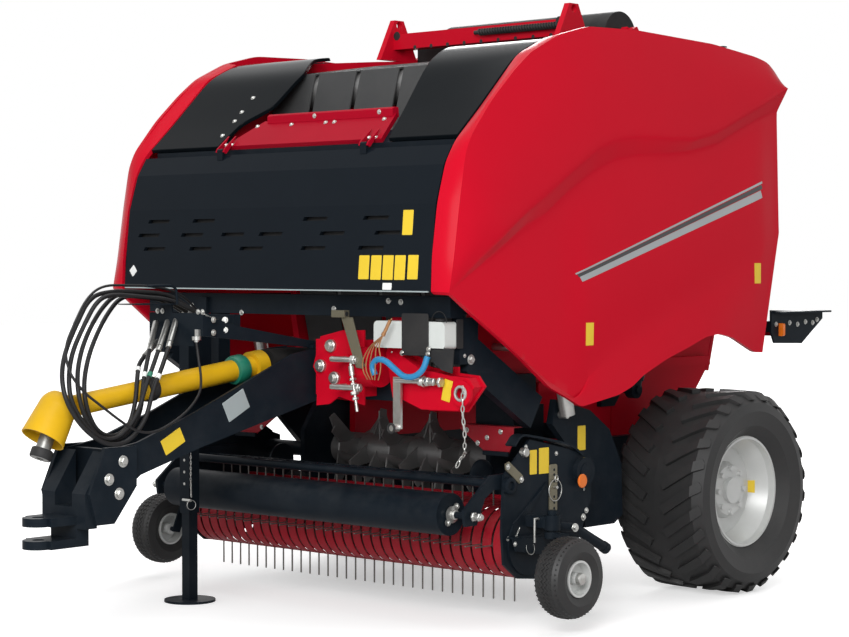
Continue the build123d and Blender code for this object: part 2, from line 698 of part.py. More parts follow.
def hitch_head():
    """Two side arms bolted to the drawbar and a fork with the pin's hole through it."""
    arm = [(-2150, 700), (-2110, 560), (-2010, 560), (-1880, 720), (-1880, 900), (-2060, 900)]
    web = [(-2160, 545), (-2160, 700), (-2040, 880), (-2040, 640), (-2100, 545)]
    side = plate_yz(arm, DRAWBAR_HALF_W + PIN_GAP, DRAWBAR_HALF_W + 22)
    side += plate_yz(web, 60, DRAWBAR_HALF_W + 1)
    head = side + flipped(side) + block(-DRAWBAR_HALF_W, DRAWBAR_HALF_W, -2160, -2092, 545, 640)
    for z0 in (HITCH_LOW, HITCH_LOW + HITCH_PITCH):
        cheek = block(-90, 90, -2300, -2100, z0, z0 + HITCH_CHEEK)
        cheek += Pos(0, -2300, z0 + HITCH_CHEEK / 2) * Cylinder(70, HITCH_CHEEK)
        head += cheek - Pos(0, -2300, z0 + HITCH_CHEEK / 2) * Cylinder(EYE_R, HITCH_CHEEK * 2)
    return head + block(-90, 90, -2160, -2090, HITCH_LOW, HITCH_LOW + HITCH_PITCH + 1)


PTO_LENGTH = math.dist(PTO_REAR, PTO_JOINT)


def on_pto(distance):
    return along(PTO_REAR, PTO_JOINT, distance)


def pto_rear():
    """Rear guard tube with its collar, open over the stub shaft."""
    tube = rod_between(on_pto(0), on_pto(PTO_REAR_LEN), PTO_TUBE_R + 4, PTO_TUBE_R + PIN_GAP)
    tube += rod_between(on_pto(0), on_pto(70), PTO_TUBE_R + 24, PTO_TUBE_R + 2)
    return tube + rod_between(on_pto(0), on_pto(14), PTO_TUBE_R + 24, PTO_STUB_R + PIN_GAP)


def pto_front():
    """Front guard tube with the fork and cross pin of the front joint."""
    tube = rod_between(on_pto(PTO_REAR_LEN - 250), on_pto(PTO_LENGTH - 92), PTO_TUBE_R, PTO_TUBE_R - 6)
    tube += rod_between(on_pto(PTO_LENGTH - 104), on_pto(PTO_LENGTH - 92), PTO_TUBE_R)
    for side in (-1, 1):
        ear = beam_between(on_pto(PTO_LENGTH - 96), on_pto(PTO_LENGTH + 12), 9, 30)
        tube += Pos(side * 30, 0, 0) * ear
    return tube + rod_x(PTO_JOINT, 11, -BELL_EAR_X + PIN_GAP, BELL_EAR_X - PIN_GAP)


def pto_bell():
    """Guard bell over the front joint: a slotted dome that flares down to its mouth."""
    mouth = below(PTO_JOINT, BELL_DROP, BELL_LEN)
    axis = Plane(origin=(0, *PTO_JOINT), z_dir=Vector(0, *mouth) - Vector(0, *PTO_JOINT))
    outer = loft([axis * Circle(HOOD_R), axis.offset(BELL_LEN) * Circle(BELL_R)])
    inner = loft([axis * Circle(HOOD_R - 6), axis.offset(BELL_LEN) * Circle(BELL_R - 6)])
    dome = Pos(0, *PTO_JOINT) * (Sphere(HOOD_R) - Sphere(HOOD_R - 6))
    dome -= extrude(axis * Circle(HOOD_R * 2), amount=HOOD_R * 2)
    bell = dome + (outer - inner)
    tube_drop = math.degrees(math.atan2(PTO_REAR[1] - PTO_JOINT[1], PTO_REAR[0] - PTO_JOINT[0]))
    for share in (0, 0.33, 0.67, 1):
        far = below(PTO_JOINT, tube_drop + share * BELL_RAISE, -2 * HOOD_R)
        near = below(PTO_JOINT, tube_drop + share * BELL_RAISE, -8)
        bell -= rod_between((0, *near), (0, *far), PTO_TUBE_R + GAP)
    # pivot ears that ride on the joint's trunnions
    for side in (-1, 1):
        bell += rod_x(PTO_JOINT, 20, side * BELL_EAR_X, side * (HOOD_R - 3))
    # bearing ring of the yoke on two arms
    ring0 = (0, *below(PTO_JOINT, YOKE_DROP, YOKE_START + 14))
    ring1 = (0, *below(PTO_JOINT, YOKE_DROP, YOKE_START + 28))
    bell += rod_between(ring0, ring1, YOKE_R - 1, YOKE_R - 9 + PIN_GAP)
    arm = below(PTO_JOINT, YOKE_DROP, YOKE_START + 21)
    for side in (-1, 1):
        bell += rod_x(arm, 5, side * (YOKE_R - 4), side * (HOOD_R + 2))
    return bell


def pto_yoke():
    neck = below(PTO_JOINT, YOKE_DROP, YOKE_START)
    ring = below(PTO_JOINT, YOKE_DROP, YOKE_END - 46)
    end = below(PTO_JOINT, YOKE_DROP, YOKE_END)
    past = below(PTO_JOINT, YOKE_DROP, YOKE_END + 5)
    bore = below(PTO_JOINT, YOKE_DROP, YOKE_END - PTO_BORE_LEN)
    body = rod_between((0, *neck), (0, *end), YOKE_R - 9) + rod_between((0, *ring), (0, *end), YOKE_R)
    return body - rod_between((0, *bore), (0, *past), PTO_BORE_R)


def drive_boot():
    """Boot on the drawbar's end plate and the stub shaft that carries the PTO shaft."""
    z = PTO_REAR[1]
    boot = rod_between((0, PTO_REAR[0] + 24, z), (0, FRAME_FACE - 14 - PIN_GAP, z), 75)
    return boot + rod_between(on_pto(-40), on_pto(60), PTO_STUB_R)


GEAR_PLATE = [
    (210, 1363), (159, 1215), (191, 1164), (182, 1027), (269, 1037), (332, 1076), (502, 1041), (502, 1399),
    (360, 1396),
]
GEAR_BOLTS = [(288, 1320), (219, 1221), (314, 1165), (400, 1262), (400, 1130)]


def gearbox():
    plate = plate_xz(GEAR_PLATE, -751, -741)
    plate += block(DRAWBAR_HALF_W + 20, 480, -742, FRAME_FACE - PIN_GAP, 1080, 1350)
    plate += rod_x((-738, 1225), 95, 490, 600)
    for x, z in GEAR_BOLTS:
        plate += rod_between((x, -768, z), (x, -750, z), 21)
    return plate


DRIVE_PLATE = [
    (652, 1464.7), (609, 1285), (652, 1083), (704, 1086), (890, 1031), (1122, 1035), (1227, 1156),
    (1187, 1204), (1073, 1212), (882, 1237), (700, 1380), (738, 1464.7),
]
DRIVE_HOUSING = [
    (712, 1100), (890, 1040), (1115, 1044), (1215, 1154), (1182, 1196), (1070, 1202), (878, 1228),
    (760, 1290),
]


def drive_housing():
    """Side drive: a plate hung below the cross beam and a housing with an open hub."""
    whole = plate_xz(DRIVE_PLATE, -712, -700) + plate_xz(DRIVE_HOUSING, -772, -711)
    whole += block(1003, 1057, -701, -690 - PIN_GAP, 1200, 1240)
    x, z = DRIVE_HUB
    whole += rod_between((x, -788, z), (x, -771, z), 60)
    return whole - rod_between((x, -800, z), (x, -740, z), 28)


def drive_crank():
    """Crank with its screw and knob, in a clamp on the drive housing."""
    y, z = -802, 1172
    screw = rod_x((y, z), 13, 752, 1010)
    arm = block(745, 792, y - 7, y + 7, 945, z + 16)
    knob = rod_between((768, y - 44, 950), (768, y, 950), 19)
    clamp = block(960, 985, y, -772 - PIN_GAP, z - 16, z + 16)
    return screw + arm + knob + clamp


save("drawbar", drawbar())
save("hitch_head", hitch_head())
save("pto_rear", pto_rear())
save("pto_front", pto_front())
save("pto_bell", pto_bell())
save("pto_yoke", pto_yoke())
save("drive_boot", drive_boot())
save("gearbox", Compound(children=[gearbox(), drive_housing()]))
tank = block(612, 1060, -800, -712 - PIN_GAP, 1322, 1448)
save("oil_tank", fillet(tank.edges().filter_by(Axis.Y), 24))


# ---------------------------------------------------------------------------
# hose holder, hoses with their couplers, and the light cable
# ---------------------------------------------------------------------------
HOLDER_Y = -1441.0           # front face of the plate the couplers park on
MANIFOLD_Y = -1230.0
HOSE_ROUTES = [
    [(-64, -1256, 1459), (-80, -1361, 1518), (-100, -1450, 1572), (-110, -1621, 1586), (-110, -1790, 1590),
     (-90, -1932, 1567), (-20, -2069, 1439), (60, -2197, 1325), (120, -2265, 1220), (158, -2267, 1110),
     (172, -2186, 992), (172, -2054, 910), (165, -1921, 916), (158, -1812, 1012), (138, -1756, 1144),
     (95, -1653, 1258), (15, -1545, 1352)],
    [(-33, -1256, 1453), (-50, -1381, 1509), (-70, -1475, 1549), (-80, -1646, 1563), (-80, -1814, 1577),
     (-60, -1916, 1549), (0, -2043, 1435), (60, -2156, 1325), (118, -2224, 1215), (146, -2231, 1106),
     (149, -2149, 992), (149, -2040, 929), (143, -1935, 947), (136, -1839, 1044), (115, -1779, 1162),
     (75, -1694, 1258), (-5, -1590, 1333)],
    [(-150, -1256, 1464), (-150, -1406, 1548), (-150, -1587, 1577), (-145, -1728, 1577), (-120, -1830, 1522),
     (-60, -1957, 1426), (20, -2076, 1321), (95, -2159, 1211), (122, -2161, 1092), (126, -2102, 974),
     (126, -2007, 915), (121, -1902, 938), (112, -1805, 1034), (88, -1772, 1158), (40, -1709, 1258),
     (-60, -1598, 1335)],
    [(-190, -1256, 1467), (-190, -1371, 1536), (-190, -1552, 1567), (-185, -1671, 1563), (-150, -1782, 1485),
     (-80, -1905, 1389), (20, -2035, 1293), (86, -2114, 1179), (104, -2111, 1070), (102, -2055, 972),
     (98, -1964, 936), (93, -1866, 968), (84, -1814, 1071), (44, -1767, 1199), (-25, -1700, 1262),
     (-95, -1590, 1298)],
]
CABLE_ROUTE = [
    (100, -1456, 1350), (112, -1457, 1285), (145, -1468, 1200), (180, -1502, 1122), (198, -1589, 1049),
    (200, -1689, 994), (200, -1801, 953), (200, -1909, 966), (198, -2013, 1029), (196, -2110, 1095),
    (186, -2195, 1155), (152, -2250, 1245), (95, -2225, 1350), (20, -2110, 1450), (-50, -1985, 1560),
    (-90, -1860, 1618), (-100, -1700, 1616), (-100, -1570, 1612), (-95, -1420, 1590), (-95, -1315, 1530),
    (-95, -1256, 1474),
]


def hose_holder():
    """Parking plate, tray, manifold and the arm that carries them on the drawbar."""
    face = [(-250, 1331), (64, 1331), (64, 1380), (128, 1380), (128, 1478), (64, 1486), (-250, 1485)]
    plate = plate_xz(face, HOLDER_Y, HOLDER_Y + 8)
    side = [
        (HOLDER_Y, 1380), (HOLDER_Y, 1478), (-1206, 1419), (-760, 1345), (-655, 1330), (-655, 1306),
        (-743, 1306), (-1206, 1355),
    ]
    arm = plate_yz(side, 112, 128)
    foot = block(112, DRAWBAR_HALF_W, -742, -655, 1304.6, 1320)
    manifold = block(-215, 113, MANIFOLD_Y, MANIFOLD_Y + 40, 1405, 1475)
    tray = block(-215, -45, -1661, HOLDER_Y, 1524, 1529)
    tray += block(-170, -90, HOLDER_Y, HOLDER_Y + 8, 1484, 1529)
    return fused([plate, arm, foot, manifold, tray, block(64, 113, HOLDER_Y, HOLDER_Y + 30, 1380, 1478)])


def coupler(points, face_y):
    """Coupler on a cord's last point, cut off flush with an upright face."""
    end = Vector(*points[-1])
    way = (end - Vector(*points[-2])).normalized()
    body = rod_between(tuple(end + way * PIN_GAP), tuple(end + way * 220), COUPLER_R)
    return body - block(-400, 400, face_y - PIN_GAP, face_y + 300, 1200, 1700)


def plug():
    x, y, z = CABLE_ROUTE[0]
    shell = rod_between((x, y, z + 1.5), (x, y, z + 12), 11)
    shell += rod_between((x, y, z + 11), (x, y, z + 28), 21)
    return shell + block(x - 12, x + 12, y, HOLDER_Y - PIN_GAP, z + 16, z + 60)


def couplers():
    """Hose ends on the parking plate, fittings on the manifold and the light plug."""
    parked = [coupler(route, HOLDER_Y) for route in HOSE_ROUTES]
    fitted = [coupler(route[1::-1], MANIFOLD_Y) for route in HOSE_ROUTES]
    return Compound(children=parked + fitted + [coupler(CABLE_ROUTE, MANIFOLD_Y), plug()])


save("hose_holder", hose_holder())
for number, route in enumerate(HOSE_ROUTES, 1):
    save(f"hose_line_{number}", cord(route, HOSE_R))
save("cable_line", cord(CABLE_ROUTE, CABLE_R))
save("hose_couplers", couplers())


# ---------------------------------------------------------------------------
# parking stand
# ---------------------------------------------------------------------------
def stand_tube():
    half = STAND_OUTER / 2
    inner = STAND_INNER / 2 + 0.5
    tube = block(STAND_X - half, STAND_X + half, STAND_Y - half, STAND_Y + half, 450, 1350)
    tube -= block(STAND_X - inner, STAND_X + inner, STAND_Y - inner, STAND_Y + inner, 440, 1340)
    beam_face = BEAM_Y - BEAM / 2 - PIN_GAP
    tube += block(STAND_X - half - 10, STAND_X + half + 10, STAND_Y + half - 1, beam_face, 1200, 1350)
    return tube + block(STAND_X - 30, STAND_X + 30, beam_face - 20, beam_face, 1340, BEAM_Z + 30)


def stand_leg():
    half = STAND_INNER / 2
    leg = block(STAND_X - half, STAND_X + half, STAND_Y - half, STAND_Y + half, STAND_FOOT_T - 1, 900)
    return leg + Pos(STAND_X, STAND_Y, STAND_FOOT_T / 2) * Cylinder(STAND_FOOT_R, STAND_FOOT_T)


save("stand_tube", stand_tube())
save("stand_leg", stand_leg())


# ---------------------------------------------------------------------------
# tailgate cylinders, belt tension cylinders and lamp brackets
# ---------------------------------------------------------------------------
CYL_LENGTH = math.dist(CYL_FOOT, CYL_HEAD)


def on_cylinder(distance):
    return along(CYL_FOOT, CYL_HEAD, distance, CYL_X)


def cylinder_barrel():
    tube = rod_between(on_cylinder(60), on_cylinder(CYL_LENGTH - 240), CYL_R, CYL_ROD_R + 1)
    tube += rod_between(on_cylinder(20), on_cylinder(90), CYL_R - 6)
    eye = rod_x(CYL_FOOT, 45, CYL_X - 25, CYL_X + 25)
    return tube + eye - rod_x(CYL_FOOT, CYL_PIN_R + PIN_GAP, CYL_X - 30, CYL_X + 30)


def cylinder_rod():
    rod = rod_between(on_cylinder(200), on_cylinder(CYL_LENGTH - 30), CYL_ROD_R)
    eye = rod_x(CYL_HEAD, 42, CYL_X - 22, CYL_X + 22)
    return rod + eye - rod_x(CYL_HEAD, CYL_PIN_R, CYL_X - 30, CYL_X + 30)


def tension_cylinder():
    """Belt tension cylinder, pinned to the side cover below and the wall above."""
    tube = rod_between((TENSION_X, *TENSION_FOOT), (TENSION_X, *TENSION_HEAD), 38)
    tube += rod_x(TENSION_FOOT, 18, 1000 + PIN_GAP, TENSION_X)
    return tube + rod_x(TENSION_HEAD, 18, WALL_OUT + PIN_GAP, TENSION_X)


def lamp_bracket():
    outline = [(1850, 1340), (1850, 1460), (REAR_Y, 1442), (REAR_Y, 1406), (2155, 1271), (1883, 1279)]
    plate = plate_yz(outline, 1080, 1092)
    fold = block(1080, 1150, 1862, REAR_Y, 1442, 1452)
    return plate + fold + block(WALL_OUT - 2 + PIN_GAP, 1085, 1862, 1922, 1340, 1400)


save_pair("cylinder_barrel", cylinder_barrel())
save_pair("cylinder_rod", cylinder_rod())
save("zinc_fittings", Compound(children=[drive_crank(), tension_cylinder(), flipped(tension_cylinder())]))
save_both("lamp_bracket", lamp_bracket())


# ---------------------------------------------------------------------------
# pickup: side plates, cross tube, stripper bands, tined reel, wind guard
# ---------------------------------------------------------------------------
PICKUP_SIDE = [
    (-430, 300), (-330, 225), (-200, 210), (60, 285), (115, 330), (235, 560), (235, 760), (60, 815),
    (-240, 880), (-430, 720), (-445, 450),
]


def pickup_side():
    side = plate_yz(PICKUP_SIDE, PICKUP_IN, PICKUP_IN + PICKUP_PLATE)
    side += rod_x(PICKUP_PIVOT, 70, PICKUP_IN, PICKUP_IN + 40)
    side -= rod_x(PICKUP_PIVOT, PICKUP_PIN_R + PIN_GAP, PICKUP_IN - 5, PICKUP_IN + 50)
    return side + rod_x(REEL, 150, PICKUP_IN + PICKUP_PLATE - 1, PICKUP_IN + PICKUP_PLATE + 10)


def pickup_frame():
    """Both side plates and the cross tube between them."""
    side = pickup_side()
    tube = rod_x((65, 330), 30, -PICKUP_IN + PIN_GAP, PICKUP_IN - PIN_GAP)
    bracket = castor_bracket()
    return Compound(children=[side, flipped(side), tube, bracket, flipped(bracket)])


def castor_bracket():
    x, y = SWIVEL
    bracket = block(PICKUP_IN + PICKUP_PLATE + 10 + PIN_GAP, x, y - 35, y + 35, 470, 525)
    bracket += Pos(x, y, 497) * Cylinder(SWIVEL_R + 14, 70)
    return bracket - Pos(x, y, 497) * Cylinder(SWIVEL_R + PIN_GAP, 90)


def stripper_bands():
    """Curved bands between the tines, open at the back, on a rear cross strip."""
    y, z = REEL
    ring = rod_x(REEL, BAND_R, 0, BAND_W, BAND_R - BAND_T)
    ring -= block(-1, BAND_W + 1, y + 1, y + 400, z - 400, z + 400)
    ring += block(0, BAND_W, y, y + 262, z + BAND_R - BAND_T, z + BAND_R)
    pieces = []
    for index in range(TINE_COUNT + 1):
        x = (index - TINE_COUNT / 2) * TINE_PITCH - BAND_W / 2
        pieces.append(Pos(x, 0, 0) * ring)
    reach = PICKUP_IN - PIN_GAP
    strip = block(-reach, reach, y + 244, y + 262, z + BAND_R - BAND_T - 2, z + BAND_R + 16)
    return strip + pieces


def pickup_reel():
    y, z = REEL
    reach = PICKUP_IN - PIN_GAP
    half = (TINE_COUNT - 1) / 2 * TINE_PITCH
    pieces = []
    for bar in range(TINE_BARS):
        angle = math.radians(-90 + 360 / TINE_BARS * bar)
        cy = y + 120 * math.cos(angle)
        cz = z + 120 * math.sin(angle)
        pieces.append(rod_x((cy, cz), 14, -half - 10, half + 10))
        for index in range(TINE_COUNT):
            x = index * TINE_PITCH - half
            tip = (x, y + TINE_R * math.cos(angle), z + TINE_R * math.sin(angle))
            pieces.append(beam_between((x, cy, cz), tip, TINE_D, TINE_D, up=(1, 0, 0)))
    for x in (-half - 12, -350, 350, half):
        pieces.append(rod_x(REEL, 136, x, x + 12))
    return rod_x(REEL, 32, -reach, reach) + pieces


def windguard():
    """Two arms, the tube between them and a comb of straight rods behind it."""
    side = [
        (-110, 650), (-110, 730), (-190, 730), (-500, 725), (-690, 575), (-680, 500), (-600, 500),
        (-540, 620), (-480, 655),
    ]
    arm = plate_yz(side, GUARD_X, GUARD_X + 16)
    arm -= rod_x(CROP_ROLLER, 16 + PIN_GAP, GUARD_X - 5, GUARD_X + 20)
    arm += rod_x(WINDGUARD_PIVOT, 30, GUARD_X, PICKUP_IN - PIN_GAP)
    tube = rod_x(GUARD_TUBE, GUARD_TUBE_R, -GUARD_X + PIN_GAP, GUARD_X - PIN_GAP)
    y, z = GUARD_TUBE
    comb = rod_x((-330, z), 7, -1050, 1050)
    rods = []
    for index in range(GUARD_RODS):
        x = (index - (GUARD_RODS - 1) / 2) * 110
        rods.append(block(x - 4, x + 4, y + GUARD_TUBE_R + PIN_GAP, -300, z - 5, z + 5))
    return Compound(children=[arm, flipped(arm), tube, comb + rods])


def crop_roller():
    drum = rod_x(CROP_ROLLER, CROP_ROLLER_R, -CROP_ROLLER_HALF, CROP_ROLLER_HALF, CROP_ROLLER_R - 8)
    for side in (-1, 1):
        end = side * CROP_ROLLER_HALF
        drum += rod_x(CROP_ROLLER, CROP_ROLLER_R - 7, end - side * 14, end - side * 2)
        drum += rod_x(CROP_ROLLER, 16, end - side * 5, side * (GUARD_X + 14))
    return drum


def feeder_rotor():
    stars = []
    pitch = (2 * WALL_IN - 120) / (ROTOR_STARS - 1)
    for index in range(ROTOR_STARS):
        x = -WALL_IN + 60 + index * pitch
        star = []
        for point in range(3):
            base = math.radians(point * 120 + index * 24)
            for step, radius in ((-34, 90), (0, ROTOR_R), (10, ROTOR_R), (34, 90)):
                angle = base + math.radians(step)
                star.append((ROTOR[0] + radius * math.cos(angle), ROTOR[1] + radius * math.sin(angle)))
        stars.append(plate_yz(star, x - 5, x + 5))
    core = rod_x(ROTOR, 85, -WALL_IN + 10, WALL_IN - 10) + rod_x(ROTOR, 30, -WALL_OUT, WALL_OUT)
    return core + stars


def pickup_carrier():
    """Plates with the pins on which the pickup turns, and the feeder's trough."""
    side = rod_x(PICKUP_PIVOT, PICKUP_PIN_R, WALL_OUT + PIN_GAP, PICKUP_IN + 44)
    side += plate_yz([(-20, 640), (60, 520), (330, 450), (400, 760), (400, 1000), (100, 1000), (-20, 820)],
                     WALL_OUT + PIN_GAP, WALL_OUT + 30)
    trough = rod_x(ROTOR, ROTOR_R + 26, -WALL_OUT, WALL_OUT, ROTOR_R + 14)
    trough -= block(-900, 900, -400, 700, ROTOR[1] - 40, 1200)
    trough -= block(-900, 900, -400, ROTOR[0] - 120, 300, 1200)
    return Compound(children=[side, flipped(side), trough])


save("pickup_frame", pickup_frame())
save("stripper_bands", stripper_bands())
save("pickup_reel", pickup_reel())
save("windguard", windguard())
save("crop_roller", crop_roller())
save("feeder_rotor", feeder_rotor())
save("pickup_carrier", pickup_carrier())


# ---------------------------------------------------------------------------
# gauge wheels
# ---------------------------------------------------------------------------
def gauge_fork():
    x, y = SWIVEL
    pin = Pos(x, y, 500) * Cylinder(SWIVEL_R, 110)
    head = Pos(x, y, 438) * Cylinder(SWIVEL_R + 14, 30)
    leg_x = GAUGE_X - GAUGE_W / 2 - 22
    plate = block(x - 20, leg_x + 6, y - 30, y + 30, 430, 446)
    leg = plate_yz([(y + 28, 446), (y - 30, 446), (GAUGE_AXLE[0] - 25, GAUGE_AXLE[1] - 10),
                    (GAUGE_AXLE[0] + 25, GAUGE_AXLE[1] - 20)], leg_x - 6, leg_x + 6)
    stub = rod_x(GAUGE_AXLE, 12, leg_x, GAUGE_X + GAUGE_W / 2 - 10)
    return pin + head + plate + leg + stub


def gauge_tyre():
    half = GAUGE_W / 2
    profile = [
        (-half + 20, GAUGE_RIM_R), (-half, GAUGE_RIM_R + 40), (-half + 10, GAUGE_R - 18),
        (-half + 35, GAUGE_R - 2), (0, GAUGE_R), (half - 35, GAUGE_R - 2), (half - 10, GAUGE_R - 18),
        (half, GAUGE_RIM_R + 40), (half - 20, GAUGE_RIM_R),
    ]
    return revolve_x(profile, GAUGE_X, GAUGE_AXLE)


def gauge_rim():
    half = GAUGE_W / 2 - 12
    seat = GAUGE_RIM_R - 0.3
    bore = 12 + PIN_GAP
    profile = [
        (-half, seat), (half, seat), (half, seat - 10), (20, seat - 12), (20, 30), (half - 5, 30),
        (half - 5, bore), (-half, bore), (-half, 30), (-10, 30), (-10, seat - 12), (-half, seat - 10),
    ]
    return revolve_x(profile, GAUGE_X, GAUGE_AXLE)


save_pair("gauge_fork", gauge_fork())
save_pair("gauge_tyre", gauge_tyre())
save_pair("gauge_rim", gauge_rim())
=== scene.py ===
import bmesh
import bpy
import json
import math
import numpy as np
from bpy.props import FloatProperty, FloatVectorProperty, PointerProperty
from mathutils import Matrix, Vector


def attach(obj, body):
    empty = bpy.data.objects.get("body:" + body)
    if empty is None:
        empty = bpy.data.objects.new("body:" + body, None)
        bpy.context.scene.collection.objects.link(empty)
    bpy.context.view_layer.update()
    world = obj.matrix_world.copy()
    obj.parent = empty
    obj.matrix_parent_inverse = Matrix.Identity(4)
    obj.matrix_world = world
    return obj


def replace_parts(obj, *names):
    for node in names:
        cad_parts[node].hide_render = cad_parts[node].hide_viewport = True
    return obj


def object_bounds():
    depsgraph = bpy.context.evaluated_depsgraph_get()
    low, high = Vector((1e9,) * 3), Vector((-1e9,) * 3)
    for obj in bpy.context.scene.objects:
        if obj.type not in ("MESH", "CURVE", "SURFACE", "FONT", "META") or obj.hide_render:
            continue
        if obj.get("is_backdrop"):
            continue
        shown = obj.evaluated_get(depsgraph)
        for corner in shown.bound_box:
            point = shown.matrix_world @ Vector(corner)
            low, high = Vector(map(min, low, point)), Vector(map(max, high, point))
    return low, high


bl_info = {
    "name": "Round baler",
    "version": (1, 0, 0),
    "blender": (4, 5, 0),
    "location": "View3D > Sidebar > Baler",
    "description": "Finishes, hoses and fittings of a towed round baler",
    "category": "Object",
}

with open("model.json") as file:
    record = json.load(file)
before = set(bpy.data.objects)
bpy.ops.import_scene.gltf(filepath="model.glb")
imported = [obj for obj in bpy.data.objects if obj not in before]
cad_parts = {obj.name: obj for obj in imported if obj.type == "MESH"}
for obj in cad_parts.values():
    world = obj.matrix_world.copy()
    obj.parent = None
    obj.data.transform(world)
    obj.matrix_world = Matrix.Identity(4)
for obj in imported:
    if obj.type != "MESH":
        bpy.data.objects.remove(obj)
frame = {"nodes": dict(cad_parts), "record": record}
NODES = frame["nodes"]
CAD_BOX = [list(corner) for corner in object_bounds()]

SIDES = (("left", 1), ("right", -1))
UP = (0.0, 0.0, 1.0)
OUT = (1, 0, 0)                   # away from the middle, on the left side
AHEAD = (0, -1, 0)
FRONT = (OUT, (0, 0, 1))          # across and upward for a plate that faces forwards
LEFT = ((0, 1, 0), (0, 0, 1))     # and for one that faces the left side


# ---- shapes worked out as whole arrays ----
def unit(vector):
    """The vector divided by its own length."""
    vector = np.asarray(vector, float)
    return vector / np.linalg.norm(vector)


def circle(count):
    """Evenly spaced points of the unit circle, as cosine and sine."""
    angle = np.linspace(0, 2 * np.pi, count, endpoint=False)
    return np.stack([np.cos(angle), np.sin(angle)], axis=1)


def rect(left, low, right, high):
    """Corners of an upright rectangle, in order round it."""
    return [(left, low), (right, low), (right, high), (left, high)]


def rounded(width, height, corner, steps=4):
    """Outline of a rectangle with rounded corners, centred on nought."""
    angle = np.linspace(0, np.pi / 2, steps + 1)
    arc = np.stack([np.cos(angle), np.sin(angle)], axis=1) * corner
    half = np.array([width / 2 - corner, height / 2 - corner])
    parts = [half + arc, (half + arc[::-1]) * (-1, 1), -half - arc, (half + arc[::-1]) * (1, -1)]
    return np.concatenate(parts)


def eased(line, times=2):
    """The line with its inner points changed, so many times, to a mean of a quarter, a half and a quarter."""
    line = np.array(line, float)
    for _ in range(times):
        line[1:-1] = 0.25 * line[:-2] + 0.5 * line[1:-1] + 0.25 * line[2:]
    return line


def measured(line):
    """How far along the line each of its points lies."""
    return np.concatenate([[0], np.cumsum(np.linalg.norm(np.diff(line, axis=0), axis=1))])


def along(line, distance):
    """The line's places at the given distances from its start."""
    return np.stack([np.interp(distance, measured(line), column) for column in np.transpose(line)], axis=1)


def resample(line, count):
    """The same line as evenly spaced points, its corners eased."""
    return eased(along(line, np.linspace(0, measured(line)[-1], count)))


def smooth_path(points, steps=48):
    """A Catmull-Rom line: each run between points is the cubic set by its two ends and their neighbours."""
    p = np.asarray(points, float)
    p = np.concatenate([2 * p[:1] - p[1:2], p, 2 * p[-1:] - p[-2:-1]])
    t = np.linspace(0, len(p) - 3, steps)
    k = np.minimum(t.astype(int), len(p) - 4)
    t = (t - k)[:, None]
    a, b, c, d = p[k], p[k + 1], p[k + 2], p[k + 3]
    square, cube = 2 * a - 5 * b + 4 * c - d, 3 * b - a - 3 * c + d
    return 0.5 * (2 * b + (c - a) * t + square * t ** 2 + cube * t ** 3)


def grid_faces(rows, cols, wrap_rows=False, wrap_cols=False):
    """Four-sided faces between neighbouring points of a rows by cols grid."""
    r, c = np.meshgrid(np.arange(rows - (not wrap_rows)), np.arange(cols - (not wrap_cols)), indexing="ij")
    up, on = (r + 1) % rows, (c + 1) % cols
    faces = np.stack([r * cols + c, r * cols + on, up * cols + on, up * cols + c], axis=-1)
    return faces.reshape(-1, 4).tolist()


def tube_faces(rows, count, closed=False):
    """Faces of a tube of rings; its two ends get a face each, or are joined where it is closed."""
    faces = grid_faces(rows, count, closed, True)
    return faces if closed else faces + [list(range(count)), list(range((rows - 1) * count, rows * count))]


def axes(direction):
    """Two unit vectors square to a direction, the second leaning upwards, and the direction itself."""
    d = unit(direction)
    across = np.cross(d, UP)
    if np.linalg.norm(across) < 1e-6:
        across = np.cross(d, OUT)
    across = unit(across)
    return across, np.cross(across, d), d


def lathe(profile, origin, direction, segments=24, closed=False):
    """Ring k has radius profile[k][0] and lies profile[k][1] along the axis."""
    radius, reach = np.transpose(profile)[..., None, None]
    u, v, d = axes(direction)
    points = np.asarray(origin, float) + radius * (circle(segments) @ (u, v)) + reach * d
    return points.reshape(-1, 3), tube_faces(len(profile), segments, closed)


def hoop(profile, origin, direction, segments=48):
    """A closed section of (radius, distance) pairs turned right round its axis, so it has no ends."""
    return lathe(profile, origin, direction, segments, closed=True)


def sweep(path, section, up=UP, closed=False):
    """A section carried along a path: point = path(t) + a * across(t) + b * upward(t), ends closed."""
    path = np.asarray(path, float)
    tangent = np.roll(path, -1, axis=0) - np.roll(path, 1, axis=0) if closed else np.gradient(path, axis=0)
    tangent /= np.linalg.norm(tangent, axis=1)[:, None]
    across = np.cross(tangent, up)
    across /= np.maximum(np.linalg.norm(across, axis=1), 1e-9)[:, None]
    upward = np.cross(across, tangent)
    a, b = np.transpose(section)[..., None]
    points = path[:, None] + a * across[:, None] + b * upward[:, None]
    return points.reshape(-1, 3), tube_faces(len(path), len(section), closed)


def slab(outline, origin, facing, thick, edge=0.0):
    """A flat plate: an outline in (across, upward) raised along their cross product, front edge chamfered."""
    flat = np.asarray(outline, float)
    u, v = map(unit, facing)
    middle = flat.mean(axis=0)
    reach = np.maximum(np.abs(flat - middle).max(axis=0), 1e-6)
    rings = []
    for height, pull in [(0, 0), (thick - edge, 0), (thick, edge)] if edge else [(0, 0), (thick, 0)]:
        ring = middle + (flat - middle) * (1 - pull / reach)
        rings.append(np.asarray(origin, float) + ring @ (u, v) + height * np.cross(u, v))
    return np.concatenate(rings), tube_faces(len(rings), len(flat))


